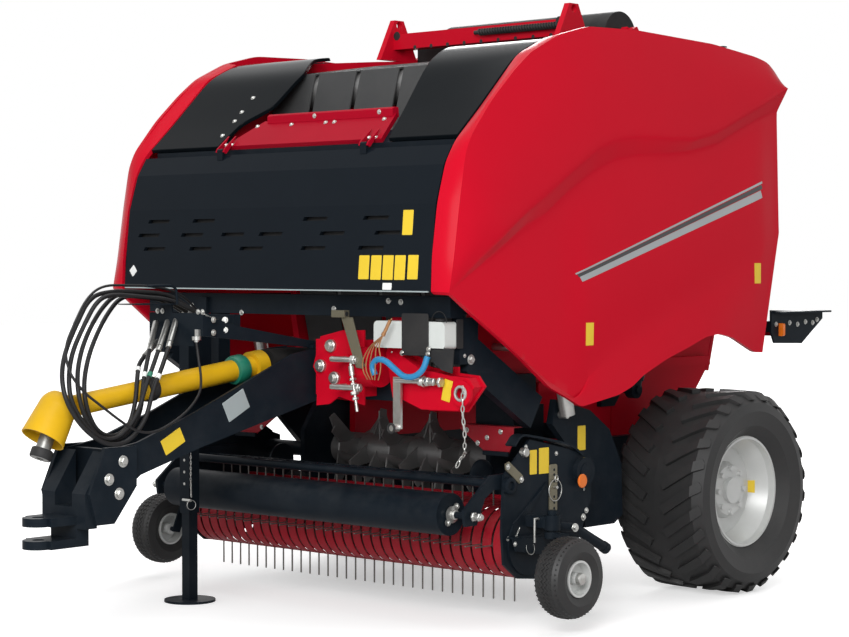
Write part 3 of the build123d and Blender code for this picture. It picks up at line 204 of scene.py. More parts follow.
def shell(grid, thick, inward):
    """A grid given a thickness: the same grid moved inwards, with the two joined along all four sides."""
    rows, cols = grid.shape[:2]
    count = rows * cols
    points = np.concatenate([grid.reshape(-1, 3), (grid + np.asarray(inward) * thick).reshape(-1, 3)])
    face = grid_faces(rows, cols)
    index = np.arange(count).reshape(rows, cols)
    border = np.concatenate([index[0], index[1:, -1], index[-1, -2::-1], index[-2:0:-1, 0]])
    after = np.roll(border, -1)
    rim = np.stack([border, after, after + count, border + count], axis=1).tolist()
    return points, face + [[index + count for index in item[::-1]] for item in face] + rim


def spread(x, y, z):
    """A grid of places from three arrays that fit one another."""
    return np.stack(np.broadcast_arrays(x, y, z), axis=-1)


def mirrored(made, side=-1):
    """The same shape with x times the side: -1 gives its mirror image."""
    points, faces = made
    return np.asarray(points, float) * (side, 1, 1), faces


class Shape:
    """Points and faces gathered for one piece."""

    def __init__(self):
        self.points = np.empty((0, 3))
        self.faces = []

    def __iter__(self):
        return iter((self.points, self.faces))

    def add(self, made):
        points, faces = made
        self.faces += [[index + len(self.points) for index in face] for face in faces]
        self.points = np.concatenate([self.points, points])
        return self

    def both(self, made):
        """The shape and its mirror image on the machine's right side."""
        return self.add(made).add(mirrored(made))


def round_edge(obj, width, segments=2, angle=30.0):
    """Rounds a piece's own sharp edges."""
    edge = obj.modifiers.new("Edge", "BEVEL")
    edge.width = width
    edge.segments = segments
    edge.limit_method = "ANGLE"
    edge.angle_limit = math.radians(angle)


def piece(name, shape, finish, smooth=0.0, bevel=0.0, body="chassis", slot=None):
    """Puts points and faces into a mesh at the origin, faces outwards, riding on its body."""
    points, faces = shape
    mesh = bpy.data.meshes.new(name)
    mesh.from_pydata(points.tolist(), [], faces)
    work = bmesh.new()
    work.from_mesh(mesh)
    bmesh.ops.remove_doubles(work, verts=work.verts, dist=1e-6)
    bmesh.ops.recalc_face_normals(work, faces=work.faces)
    work.to_mesh(mesh)
    work.free()
    mesh.materials.append(bpy.data.materials[finish + "_finish"])
    obj = bpy.data.objects.new(name, mesh)
    bpy.context.scene.collection.objects.link(obj)
    if smooth:
        mesh.shade_smooth()
        mesh.set_sharp_from_angle(angle=math.radians(smooth))
    if bevel:
        round_edge(obj, bevel)
    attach(obj, body)
    slot or FINISHES[finish][0]
    return obj


def side_pieces(name, shape, finish, body, smooth=0.0, slot=None):
    """A piece on the left body and its mirror image on the right one."""
    return [piece(f"{name}_{side}", mirrored(shape, sign), finish, smooth, 0.0, f"{body}_{side}", slot)
            for side, sign in SIDES]


# ---- small parts; put is a Shape's own add or both ----
def bolt(put, place, direction, size=0.012, flange=1.6):
    """A washer and a six-sided head, the head's end eased in at its corners."""
    put(lathe([(flange * size, 0), (flange * size, 0.2 * size), (1.5 * size, 0.28 * size)], place,
              direction, 20))
    put(lathe([(1.08 * size, 0.2 * size), (1.08 * size, 0.8 * size), (0.9 * size, size)], place, direction,
              6))


def bolts(put, places, direction, size, flange=1.6):
    """The same bolt at each of the places."""
    for place in places:
        bolt(put, place, direction, size, flange)


def rod(put, start, stop, radius, segments=14):
    """A round bar between two places, its ends eased in."""
    span = np.subtract(stop, start)
    reach = float(np.linalg.norm(span))
    lip = 0.15 * radius
    profile = [(radius - lip, 0), (radius, lip), (radius, reach - lip), (radius - lip, reach)]
    put(lathe(profile, start, span, segments))


def bar(put, start, reach, radius, segments=14):
    """A round bar that runs straight out from the middle."""
    rod(put, start, np.add(start, (reach, 0, 0)), radius, segments)


def disc(put, place, direction, radius, thick, segments):
    """A flat round plate."""
    put(lathe([(radius, 0), (radius, thick)], place, direction, segments))


def ring(put, place, direction, radius, wire, segments=32):
    """A round wire bent into a full circle."""
    put(hoop(circle(8) * wire + (radius, 0), place, direction, segments))


def chain(put, points, pitch=0.014, wire=0.0014, width=0.007):
    """Oblong links laid end to end along a smooth line, each turned a quarter against the last."""
    line = smooth_path(points, 200)
    distance = (np.arange(int(measured(line)[-1] / pitch)) + 0.5) * pitch
    middle = along(line, distance)
    for count, (place, way) in enumerate(zip(middle, along(line, distance + 0.002) - middle)):
        first, second, ahead = axes(way)
        side, normal = (first, second) if count % 2 else (second, first)
        oval = place + circle(12) @ (side * width / 2, ahead * (pitch / 2 + wire))
        put(sweep(oval, wire * circle(5), up=normal, closed=True))


def tab(put, origin, size, facing, thick=0.002, corner=0.004):
    """A small plate with rounded corners, set on a face."""
    put(slab(rounded(*size, corner), origin, facing, thick, thick * 0.4))


# ---- shared shader effects ----
class Net:
    """A node tree with short ways to add and join nodes. A socket takes a value or another node's output."""

    def __init__(self, tree):
        self.tree = tree

    def feed(self, socket, value):
        if isinstance(value, bpy.types.NodeSocket):
            self.tree.links.new(value, socket)
        else:
            socket.default_value = value

    def node(self, kind, sockets=None, **values):
        made = self.tree.nodes.new(kind)
        for key, value in values.items():
            setattr(made, key, value)
        for key, value in (sockets or {}).items():
            self.feed(made.inputs[key], value)
        return made

    def place(self):
        return self.node("ShaderNodeTexCoord").outputs["Object"]

    def math(self, operation, *terms, clamp=False):
        return self.node("ShaderNodeMath", dict(enumerate(terms)), operation=operation,
                         use_clamp=clamp).outputs[0]

    def noise(self, vector, scale, detail=3.0, rough=0.5):
        sockets = {"Vector": vector, "Scale": scale, "Detail": detail, "Roughness": rough}
        return self.node("ShaderNodeTexNoise", sockets).outputs["Fac"]

    def span(self, value, low, high, out_low=0.0, out_high=1.0):
        sockets = {"Value": value, "From Min": low, "From Max": high, "To Min": out_low, "To Max": out_high}
        return self.node("ShaderNodeMapRange", sockets, clamp=True).outputs[0]

    def mix(self, amount, a, b):
        return self.node("ShaderNodeMix", {0: amount, 6: a, 7: b}, data_type="RGBA").outputs[2]

    def upright(self, vector):
        """How much of a vector points up."""
        return self.node("ShaderNodeSeparateXYZ", {0: vector}).outputs["Z"]

    def effect(self, group, **values):
        """Places a shared effect; an underscore stands for a space in its inputs' names."""
        sockets = {key.replace("_", " "): value for key, value in values.items()}
        return self.node("ShaderNodeGroup", sockets, node_tree=bpy.data.node_groups[group]).outputs


def new_effect(name, takes, gives):
    """A new shader group. A default with four numbers makes a colour socket, and so does the name Colour."""
    tree = bpy.data.node_groups.new(name, "ShaderNodeTree")
    for label, value in takes.items():
        kind = "NodeSocketColor" if isinstance(value, tuple) else "NodeSocketFloat"
        tree.interface.new_socket(label, in_out="INPUT", socket_type=kind).default_value = value
    for label in gives:
        kind = "NodeSocketColor" if label == "Colour" else "NodeSocketFloat"
        tree.interface.new_socket(label, in_out="OUTPUT", socket_type=kind)
    net = Net(tree)
    return net, net.node("NodeGroupInput").outputs, net.node("NodeGroupOutput").inputs


def cast_effect():
    """Uneven colour: broad noise lightens and darkens the colour by a share."""
    net, put, out = new_effect("Colour cast", {"Colour": grey(0.5), "Share": 0.1, "Scale": 6.0}, ["Colour"])
    broad = net.noise(net.place(), put["Scale"], 4.0, 0.6)
    level = net.math("MULTIPLY_ADD", net.math("SUBTRACT", broad, 0.5), put["Share"], 1.0)
    scaled = net.node("ShaderNodeVectorMath", operation="SCALE")
    net.feed(scaled.inputs[0], put["Colour"])
    net.feed(scaled.inputs["Scale"], level)
    net.feed(out[0], scaled.outputs[0])


def dust_effect():
    """Dust: a pale coat where the surface looks up, in patches, and more of it near the ground."""
    takes = {"Colour": grey(0.5), "Roughness": 0.4, "Dust colour": grey(0.3), "Amount": 0.1}
    net, put, out = new_effect("Dust", takes, ["Colour", "Roughness"])
    coords = net.node("ShaderNodeTexCoord").outputs
    patches = net.span(net.noise(coords["Object"], 9.0, 5.0, 0.65), 0.42, 0.7)
    upward = net.span(net.upright(coords["Normal"]), -0.2, 1.0, 0.25, 1.0)
    low = net.span(net.upright(coords["Object"]), 0.0, 1.2, 1.0, 0.45)
    mask = net.math("MULTIPLY", net.math("MULTIPLY", patches, upward),
                    net.math("MULTIPLY", low, put["Amount"]), clamp=True)
    net.feed(out[0], net.mix(mask, put["Colour"], put["Dust colour"]))
    net.feed(out[1], net.math("MULTIPLY_ADD", mask, 0.45, put["Roughness"], clamp=True))


def grain_effect():
    """Surface height: fine noise plus a slower swell, each with its own share."""
    net, put, out = new_effect("Grain", {"Fine scale": 400.0, "Swell scale": 12.0, "Swell share": 0.3},
                               ["Height"])
    place = net.place()
    fine, swell = net.noise(place, put["Fine scale"]), net.noise(place, put["Swell scale"], 2.0)
    net.feed(out[0], net.math("MULTIPLY_ADD", swell, put["Swell share"], fine))


def scuff_effect():
    """Scuffs: noise drawn out along the machine's length, cut at a level, gives a mask of fine marks."""
    net, put, out = new_effect("Scuffs", {"Amount": 0.2}, ["Mask"])
    sockets = {"Vector": net.place(), "Rotation": (0.4, 0.3, 0.7), "Scale": (1.0, 0.12, 1.0)}
    drawn = net.node("ShaderNodeMapping", sockets).outputs[0]
    net.feed(out[0], net.math("MULTIPLY", net.span(net.noise(drawn, 30.0, 6.0, 0.7), 0.6, 0.72),
                              put["Amount"]))


def weave_height(net):
    """A woven backing: two crossed waves added."""
    waves = [net.node("ShaderNodeTexWave", {"Vector": net.place(), "Scale": scale},
                      bands_direction=way).outputs["Fac"] for way, scale in (("Z", 60.0), ("X", 90.0))]
    return net.math("ADD", *waves)


def grey(value):
    """A colour with its alpha; one number stands for a grey."""
    return (*value, 1) if isinstance(value, tuple) else (value, value, value, 1)


def start_finish(name, rough=0.4, metal=0.0, level=0.5):
    """A new material and its shader's sockets; numbers that hold all over are set on the shader itself."""
    material = bpy.data.materials.new(name + "_finish")
    material.use_nodes = True
    net = Net(material.node_tree)
    sockets = net.tree.nodes["Principled BSDF"].inputs
    for label, value in (("Roughness", rough), ("Metallic", metal), ("Specular IOR Level", level)):
        sockets[label].default_value = value
    return material, net, sockets


def finish(name, colour, worn, rough, cast, dust, scuff, fine, metal=0.0, level=0.5, cast_scale=5.0,
           dust_colour=(0.33, 0.3, 0.26), depth=0.0002, strength=0.25, swell=12.0, swell_share=0.3,
           weave=False):
    """A maker's finish: cast, scuffs and dust over the colour, grain or a weave for the surface."""
    material, net, sockets = start_finish(name, rough, metal, level)
    tone = net.effect("Colour cast", Colour=grey(colour), Share=cast * 2, Scale=cast_scale)
    marked = net.mix(net.effect("Scuffs", Amount=scuff)[0], tone[0], grey(worn))
    dusty = net.effect("Dust", Colour=marked, Roughness=rough, Dust_colour=grey(dust_colour), Amount=dust)
    net.feed(sockets["Base Color"], dusty[0])
    net.feed(sockets["Roughness"], dusty[1])
    grain = net.effect("Grain", Fine_scale=fine, Swell_scale=swell, Swell_share=swell_share)
    bump = {"Strength": strength, "Distance": depth, "Height": weave_height(net) if weave else grain[0]}
    net.feed(sockets["Normal"], net.node("ShaderNodeBump", bump).outputs[0])


FINISHES = {
    "body_red": ("body_red", (0.5, 0.006, 0.024), (0.5, 0.06, 0.06), 0.24, 0.05, 0.03, 0.012, 260,
        dict(level=0.05, cast_scale=1.6, dust_colour=(0.3, 0.1, 0.1), strength=0.08, swell=5,
             swell_share=0.8)),
    # painted shade: a darker copy of the side panels' red, for the centre panel and its rail
    "centre_red": ("body_red", (0.34, 0.003, 0.016), (0.5, 0.06, 0.06), 0.26, 0.08, 0.02, 0.012, 260,
        dict(level=0.03, dust_colour=(0.3, 0.1, 0.1), strength=0.08, swell=5, swell_share=0.8)),
    "frame_red": ("panel_red", (0.4, 0.006, 0.018), (0.26, 0.05, 0.05), 0.3, 0.12, 0.1, 0.08, 500,
        dict(level=0.1)),
    "band_red": ("band_red", (0.3, 0.007, 0.017), (0.22, 0.1, 0.09), 0.34, 0.16, 0.16, 0.18, 500,
        dict(level=0.15)),
    "gloss_black": ("bonnet_black", (0.0105, 0.0135, 0.018), 0.03, 0.14, 0.1, 0.02, 0.01, 200,
        dict(level=0.05, dust_colour=0.05, depth=0.0003, strength=0.06, swell=3, swell_share=2)),
    # painted shade: a darker copy of the bonnet's gloss black for the wings, standing in for their darker
    # lighting
    "wing_black": ("bonnet_black", (0.0035, 0.005, 0.0065), 0.03, 0.16, 0.1, 0.03, 0.01, 200,
        dict(level=0.03, dust_colour=0.05, depth=0.0003, strength=0.06, swell=3, swell_share=2)),
    "black_paint": ("frame_black", (0.0075, 0.0115, 0.0165), (0.05, 0.055, 0.06), 0.34, 0.2, 0.1, 0.08, 700,
        dict(level=0.06, dust_colour=0.2, depth=0.0003)),
    "dark_plastic": ("cover_plastic", (0.013, 0.013, 0.014), 0.05, 0.5, 0.15, 0.12, 0.06, 900,
        dict(level=0.12, depth=0.0003, strength=0.4)),
    "soft_black": ("hose_rubber", (0.016, 0.016, 0.017), 0.05, 0.62, 0.2, 0.18, 0.05, 500,
        dict(level=0.3, depth=0.0004, strength=0.4)),
    "tyre_rubber": ("tyre", (0.017, 0.017, 0.0175), (0.09, 0.09, 0.085), 0.52, 0.25, 0.16, 0.06, 320,
        dict(level=0.4, dust_colour=(0.11, 0.1, 0.09), depth=0.0006, strength=0.5, swell=40,
             swell_share=0.5)),
    "belt_rubber": ("belt_rubber", (0.042, 0.043, 0.044), 0.1, 0.62, 0.18, 0.22, 0.15, 300,
        dict(level=0.3, cast_scale=3, dust_colour=(0.17, 0.165, 0.15), depth=0.0008, strength=0.5,
             weave=True)),
    "hose_cover": ("hose_rubber", (0.011, 0.011, 0.012), 0.08, 0.45, 0.15, 0.1, 0.08, 500,
        dict(level=0.25, dust_colour=0.08, depth=0.0003, strength=0.3)),
    "hose_blue": ("hose_rubber", (0.015, 0.2, 0.42), (0.2, 0.4, 0.6), 0.35, 0.1, 0.08, 0.04, 700, {}),
    "rim_silver": ("rim_silver", (0.56, 0.57, 0.56), (0.35, 0.35, 0.34), 0.36, 0.08, 0.1, 0.05, 1400,
        dict(metal=0.2, depth=0.0001, strength=0.3)),
    "roller_steel": ("roller_steel", 0.2, (0.35, 0.33, 0.31), 0.45, 0.25, 0.3, 0.3, 300, dict(metal=0.6)),
    "yoke_steel": ("yoke_steel", (0.22, 0.22, 0.21), (0.4, 0.39, 0.37), 0.42, 0.25, 0.2, 0.2, 400,
        dict(metal=0.85)),
    "tine_steel": ("tine_steel", (0.2, 0.19, 0.18), (0.34, 0.31, 0.27), 0.42, 0.3, 0.15, 0.2, 500,
        dict(metal=0.7, cast_scale=30)),
    "olive_grey": ("tine_steel", (0.16, 0.145, 0.1), (0.3, 0.28, 0.22), 0.48, 0.3, 0.2, 0.2, 500,
        dict(metal=0.5)),
    "zinc": ("yoke_steel", (0.5, 0.5, 0.48), (0.62, 0.61, 0.58), 0.3, 0.3, 0.12, 0.15, 500,
        dict(metal=0.85, cast_scale=24)),
    "chrome": ("rod_chrome", 0.6, 0.5, 0.12, 0.06, 0.05, 0.03, 900, dict(metal=1, depth=0.00005)),
    "copper": ("hose_rubber", (0.52, 0.27, 0.13), (0.4, 0.25, 0.15), 0.32, 0.2, 0.1, 0.05, 600,
        dict(metal=0.9, cast_scale=30)),
    "guard_yellow": ("guard_yellow", (0.62, 0.36, 0.008), (0.45, 0.3, 0.06), 0.42, 0.14, 0.14, 0.16, 600,
        dict(level=0.2, dust_colour=(0.42, 0.33, 0.14), depth=0.0004, strength=0.35)),
    "plate_yellow": ("guard_yellow", (0.72, 0.5, 0.02), (0.5, 0.4, 0.1), 0.45, 0.06, 0.06, 0.05, 900,
        dict(depth=0.0001)),
    "plate_grey": ("rim_silver", (0.38, 0.44, 0.45), 0.5, 0.38, 0.1, 0.1, 0.1, 900,
        dict(metal=0.3, depth=0.0001)),
    "plate_white": ("tank_white", (0.78, 0.79, 0.78), 0.6, 0.45, 0.06, 0.08, 0.05, 900, dict(depth=0.0001)),
    "tank_white": ("tank_white", (0.6, 0.63, 0.61), (0.5, 0.5, 0.48), 0.38, 0.1, 0.12, 0.05, 500,
        dict(level=0.45, depth=0.0004)),
    "collar_green": ("guard_yellow", (0.01, 0.16, 0.1), (0.1, 0.25, 0.18), 0.4, 0.14, 0.12, 0.08, 600, {}),
    "amber": ("guard_yellow", (0.75, 0.16, 0.01), (0.6, 0.3, 0.1), 0.22, 0.1, 0.05, 0.03, 300, {}),
    "stripe_silver": ("body_red", (0.36, 0.38, 0.39), 0.3, 0.3, 0.16, 0.05, 0.04, 600,
        dict(metal=0.4, cast_scale=1.2, depth=0.0001)),
    "stripe_grey": ("body_red", (0.05, 0.052, 0.055), 0.1, 0.35, 0.2, 0.05, 0.04, 600,
        dict(level=0.3, cast_scale=1.2, depth=0.0001)),
}
PLAIN_SLOTS = {      # slots of the frame whose finish has another name
    "tyre": "tyre_rubber", "frame_black": "black_paint", "bonnet_black": "gloss_black",
    "panel_red": "frame_red", "cover_plastic": "dark_plastic", "rod_chrome": "chrome",
    "hose_rubber": "hose_cover",
}
# painted shade: the centre panel and the wings take darker copies of the side panels' red and of the bonnet's
# gloss black
NODE_FINISH = {"centre_panel": "centre_red", "wings": "wing_black", "zinc_fittings": "zinc",
               "hose_couplers": "zinc"}


# ---- hoses and cable ----
HOSE_RADIUS = 0.0105
CABLE_RADIUS = 0.006
CORDS = (      # name, length, radius, the route's points in metres, far end
    ("hose_line_1", 2.376, HOSE_RADIUS, (
        (-0.064, -1.256, 1.459), (-0.08, -1.361, 1.518), (-0.1, -1.45, 1.572), (-0.11, -1.621, 1.586),
        (-0.11, -1.79, 1.59), (-0.09, -1.932, 1.567), (-0.02, -2.069, 1.439), (0.06, -2.197, 1.325),
        (0.12, -2.265, 1.22), (0.158, -2.267, 1.11), (0.172, -2.186, 0.992), (0.172, -2.054, 0.91),
        (0.165, -1.921, 0.916), (0.158, -1.812, 1.012), (0.138, -1.756, 1.144), (0.095, -1.653, 1.258),
        (0.015, -1.545, 1.352)), "connector"),
    ("hose_line_2", 2.201, HOSE_RADIUS, (
        (-0.033, -1.256, 1.453), (-0.05, -1.381, 1.509), (-0.07, -1.475, 1.549), (-0.08, -1.646, 1.563),
        (-0.08, -1.814, 1.577), (-0.06, -1.916, 1.549), (0.0, -2.043, 1.435), (0.06, -2.156, 1.325),
        (0.118, -2.224, 1.215), (0.146, -2.231, 1.106), (0.149, -2.149, 0.992), (0.149, -2.04, 0.929),
        (0.143, -1.935, 0.947), (0.136, -1.839, 1.044), (0.115, -1.779, 1.162), (0.075, -1.694, 1.258),
        (-0.005, -1.59, 1.333)), "connector"),
    ("hose_line_3", 2.129, HOSE_RADIUS, (
        (-0.15, -1.256, 1.464), (-0.15, -1.406, 1.548), (-0.15, -1.587, 1.577), (-0.145, -1.728, 1.577),
        (-0.12, -1.83, 1.522), (-0.06, -1.957, 1.426), (0.02, -2.076, 1.321), (0.095, -2.159, 1.211),
        (0.122, -2.161, 1.092), (0.126, -2.102, 0.974), (0.126, -2.007, 0.915), (0.121, -1.902, 0.938),
        (0.112, -1.805, 1.034), (0.088, -1.772, 1.158), (0.04, -1.709, 1.258), (-0.06, -1.598, 1.335)),
     "connector"),
    ("hose_line_4", 1.996, HOSE_RADIUS, (
        (-0.19, -1.256, 1.467), (-0.19, -1.371, 1.536), (-0.19, -1.552, 1.567), (-0.185, -1.671, 1.563),
        (-0.15, -1.782, 1.485), (-0.08, -1.905, 1.389), (0.02, -2.035, 1.293), (0.086, -2.114, 1.179),
        (0.104, -2.111, 1.07), (0.102, -2.055, 0.972), (0.098, -1.964, 0.936), (0.093, -1.866, 0.968),
        (0.084, -1.814, 1.071), (0.044, -1.767, 1.199), (-0.025, -1.7, 1.262), (-0.095, -1.59, 1.298)),
     "connector"),
    ("cable_line", 2.401, CABLE_RADIUS, (
        (0.1, -1.456, 1.35), (0.112, -1.457, 1.285), (0.145, -1.468, 1.2), (0.18, -1.502, 1.122),
        (0.198, -1.589, 1.049), (0.2, -1.689, 0.994), (0.2, -1.801, 0.953), (0.2, -1.909, 0.966),
        (0.198, -2.013, 1.029), (0.196, -2.11, 1.095), (0.186, -2.195, 1.155), (0.152, -2.25, 1.245),
        (0.095, -2.225, 1.35), (0.02, -2.11, 1.45), (-0.05, -1.985, 1.56), (-0.09, -1.86, 1.618),
        (-0.1, -1.7, 1.616), (-0.1, -1.57, 1.612), (-0.095, -1.42, 1.59), (-0.095, -1.315, 1.53),
        (-0.095, -1.256, 1.474)), "plug"),
)


# ---- sizes and colours that a user would change ----
class BALER_PG_paint(bpy.types.PropertyGroup):
    red: FloatVectorProperty(name="Red", description="Colour of the mouldings", subtype="COLOR", size=3,
                             min=0.0, max=1.0, default=(0.52, 0.004, 0.018))
    black: FloatVectorProperty(name="Gloss black", description="Colour of the bonnet", subtype="COLOR",
                               size=3, min=0.0, max=1.0, default=(0.0065, 0.0095, 0.0135))


class BALER_PG_stage(bpy.types.PropertyGroup):
    heading: FloatProperty(name="Heading", description="Turn of the camera about the upright",
                           subtype="ANGLE", default=math.radians(42.158))
    tilt: FloatProperty(name="Tilt", description="How far the camera looks down", subtype="ANGLE",
                        default=math.radians(1.5))
    lens: FloatProperty(name="Lens", description="Focal length", min=20.0, default=92.7)
    place: FloatVectorProperty(name="Camera", description="Place of the camera", subtype="TRANSLATION",
                               unit="LENGTH", default=(7.6986, -8.2701, 1.7271))
    key: FloatProperty(name="Key", description="Power of the light over the camera", subtype="POWER",
                       default=980.0)
    fill: FloatProperty(name="Fill", description="Power of the other lights", subtype="POWER",
                        default=150.0)
    ambient: FloatProperty(name="Ambient", description="Strength of the light from all round", default=0.42)


# ---- operators, in the order in which main calls them ----
class BALER_OT_stage(bpy.types.Operator):
    """Camera, pale floor, soft lamps and white surroundings"""
    bl_idname = "baler.stage"
    bl_label = "Stage"

    def execute(self, context):
        scene = context.scene
        sizes = scene.baler_stage
        scene.view_settings.view_transform = "Standard"
        data = bpy.data.cameras.new("Camera")
        data.lens = sizes.lens
        data.sensor_width = 36.0
        data.clip_end = 200.0
        camera = bpy.data.objects.new("Camera", data)
        camera.location = sizes.place
        camera.rotation_euler = (math.pi / 2 - sizes.tilt, 0.0, sizes.heading)
        scene.collection.objects.link(camera)
        scene.camera = camera
        self.lamps(scene, sizes)
        self.surroundings(scene, sizes)
        self.floor(scene)
        return {"FINISHED"}

    def lamps(self, scene, sizes):
        target = Vector((0.0, -0.3, 1.4))
        for name, place, size, power in (
            ("Key", (6.2, -8.8, 5.2), 5.0, sizes.key),
            ("Overhead", (0.0, -0.5, 7.2), 6.0, sizes.fill),
            ("Rear", (-4.5, 7.5, 4.5), 4.0, sizes.fill * 2),
        ):
            data = bpy.data.lights.new(name, "AREA")
            data.energy = power
            data.size = size
            lamp = bpy.data.objects.new(name, data)
            lamp.location = place
            lamp.rotation_euler = (target - Vector(place)).to_track_quat("-Z", "Y").to_euler()
            scene.collection.objects.link(lamp)

    def surroundings(self, scene, sizes):
        """White for rays from the camera, reflections and glass; a plain level for the rest."""
        world = bpy.data.worlds.new("Surroundings")
        world.use_nodes = True
        net = Net(world.node_tree)
        back = net.tree.nodes["Background"].inputs
        rays = net.node("ShaderNodeLightPath").outputs
        seen = net.math("MAXIMUM", rays["Is Camera Ray"], rays["Is Transmission Ray"])
        seen = net.math("MAXIMUM", seen, rays["Is Glossy Ray"])
        net.feed(back["Strength"], net.math("MAXIMUM", seen, sizes.ambient))
        net.feed(back["Color"], grey(1))
        scene.world = world

    def floor(self, scene):
        """A flat square, pale, that lifts towards white for the camera and keeps the shadow."""
        mesh = bpy.data.meshes.new("Floor")
        reach = 40.0
        mesh.from_pydata([(x, y, 0) for x, y in rect(-reach, -reach, reach, reach)], [], [(0, 1, 2, 3)])
        material, net, sockets = start_finish("floor_pale", rough=0.85, level=0.1)
        place = net.place()
        tone = net.span(net.noise(place, 0.6), 0.3, 0.7, 0.8, 0.82)
        colour = net.node("ShaderNodeCombineXYZ", {0: tone, 1: tone, 2: tone})
        net.feed(sockets["Base Color"], colour.outputs[0])
        radius = net.node("ShaderNodeVectorMath", {0: place}, operation="LENGTH").outputs["Value"]
        # painted shade: the glow for the camera is weaker within a few metres of the middle, so the floor
        # round the machine reads darker than further out
        lift = net.span(radius, 1.0, 6.0, 0.44, 1.0)
        camera_ray = net.node("ShaderNodeLightPath").outputs["Is Camera Ray"]
        net.feed(sockets["Emission Color"], grey(1))
        net.feed(sockets["Emission Strength"], net.math("MULTIPLY", camera_ray, lift))
        mesh.materials.append(material)
        obj = bpy.data.objects.new("Floor", mesh)
        scene.collection.objects.link(obj)
        obj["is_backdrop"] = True


class BALER_OT_finishes(bpy.types.Operator):
    """Shared effects, all the finishes, and a finish on every solid of the frame"""
    bl_idname = "baler.finishes"
    bl_label = "Finishes"

    def execute(self, context):
        paint = context.scene.baler_paint
        for make in (cast_effect, dust_effect, grain_effect, scuff_effect):
            make()
        tones = {"body_red": tuple(paint.red), "gloss_black": tuple(paint.black)}
        for name, (_, colour, *values, more) in FINISHES.items():
            finish(name, tones.get(name, colour), *values, **more)
        slots = {part["node"]: part["material_slot"] for part in frame["record"]["subparts"]}
        for name, obj in NODES.items():
            slot = slots[name]
            wanted = NODE_FINISH.get(name, PLAIN_SLOTS.get(slot, slot))
            if not obj.material_slots:
                raise RuntimeError(f"{name} has no material slot")
            for holder in obj.material_slots:
                holder.material = bpy.data.materials[wanted + "_finish"]
        return {"FINISHED"}


class BALER_OT_cords(bpy.types.Operator):
    """Four hydraulic hoses and the light cable, each one smooth line"""
    bl_idname = "baler.cords"
    bl_label = "Hoses and cable"

    def execute(self, context):
        for name, length, radius, route, far_end in CORDS:
            curve = bpy.data.curves.new(name + "_cord", "CURVE")
            curve.dimensions = "3D"
            curve.bevel_depth = radius
            curve.bevel_resolution = 4
            curve.resolution_u = 10
            curve.use_fill_caps = True
            line = curve.splines.new("NURBS")
            line.points.add(len(route) - 1)
            line.points.foreach_set("co", np.column_stack([route, np.ones(len(route))]).ravel())
            line.order_u = 3
            line.use_endpoint_u = True
            curve.materials.append(bpy.data.materials["hose_cover_finish"])
            obj = bpy.data.objects.new(name + "_cord", curve)
            context.scene.collection.objects.link(obj)
            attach(obj, "chassis")
            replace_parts(obj, name)
            leaves = route[-1] if far_end == "plug" else route[0]
            2 * radius
            NODES["hose_couplers"]
            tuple(leaves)
        return {"FINISHED"}


# ---- mouldings ----
RIDGE_X = 1.173
LINE_TOP = [
    (-0.897, 1.586), (-0.866, 1.74), (-0.824, 2.01), (-0.786, 2.215), (-0.747, 2.3), (-0.6, 2.47),
    (-0.441, 2.615), (-0.32, 2.708), (-0.11, 2.806), (0.118, 2.862), (0.51, 2.874), (1.166, 2.854),
    (1.56, 2.815), (1.68, 2.792), (1.76, 2.74), (1.835, 2.671),
]
LINE_CREST = [      # upper crease, where the shaded step begins
    (-0.895, 1.59), (-0.667, 1.772), (-0.416, 1.948), (-0.195, 2.079), (0.032, 2.214), (0.159, 2.285),
    (0.311, 2.329), (0.487, 2.346), (0.715, 2.342), (0.95, 2.345), (1.142, 2.392), (1.441, 2.511),
    (1.818, 2.655),
]
LINE_STEP = [       # foot of the step
    (-0.893, 1.588), (-0.531, 1.8), (-0.384, 1.885), (-0.234, 1.94), (-0.091, 2.031), (0.119, 2.14),
    (0.291, 2.21), (0.467, 2.243), (0.74, 2.263), (0.975, 2.291), (1.169, 2.323), (1.367, 2.402),
    (1.583, 2.48), (1.762, 2.53),
]
LINE_LOW = [        # lower crease
    (-0.895, 1.587), (-0.46, 1.31), (-0.223, 1.165), (-0.08, 1.1), (0.014, 1.06), (0.104, 1.176),
    (0.205, 1.235), (0.328, 1.293), (0.602, 1.4), (0.886, 1.51), (1.205, 1.625), (1.441, 1.718),
    (1.784, 1.88),
]
LINE_BOTTOM = [
    (-0.897, 1.586), (-0.56, 1.357), (-0.223, 1.129), (-0.08, 1.071), (0.015, 1.027), (0.315, 1.072),
    (0.43, 1.11), (0.515, 1.16), (0.7, 1.23), (0.908, 1.29), (1.06, 1.338), (1.175, 1.35), (1.299, 1.328),
    (1.533, 1.242), (1.609, 1.24),
]
STRIP_INNER = [
    (-0.914, 1.59), (-0.908, 1.747), (-0.872, 1.992), (-0.816, 2.179), (-0.751, 2.279), (-0.581, 2.436),
    (-0.306, 2.705), (-0.104, 2.796),
]
SIDE_LINES = (      # line, rise out of the ridge and its share, fall at the rear and where that starts
    (LINE_BOTTOM, 0.041, 0.22, 0.02, 0.85), (LINE_LOW, 0.019, 0.2, 0.012, 0.93),
    (LINE_STEP, 0.01, 0.2, 0.006, 0.93), (LINE_CREST, 0.044, 0.16, 0.006, 0.9), (LINE_TOP, 0, 1, 0, 0),
)
SKIN_COLUMNS = 150
SKIN_THICK = 0.022
INWARD = (-1, 0, 0)
FOIL = 0.0009           # thickness of the stripes and of plates stuck on a curved face


def ease(value):
    """The cubic that rises smoothly from 0 at 0 to 1 at 1."""
    value = np.clip(value, 0, 1)
    return value * value * (3 - 2 * value)


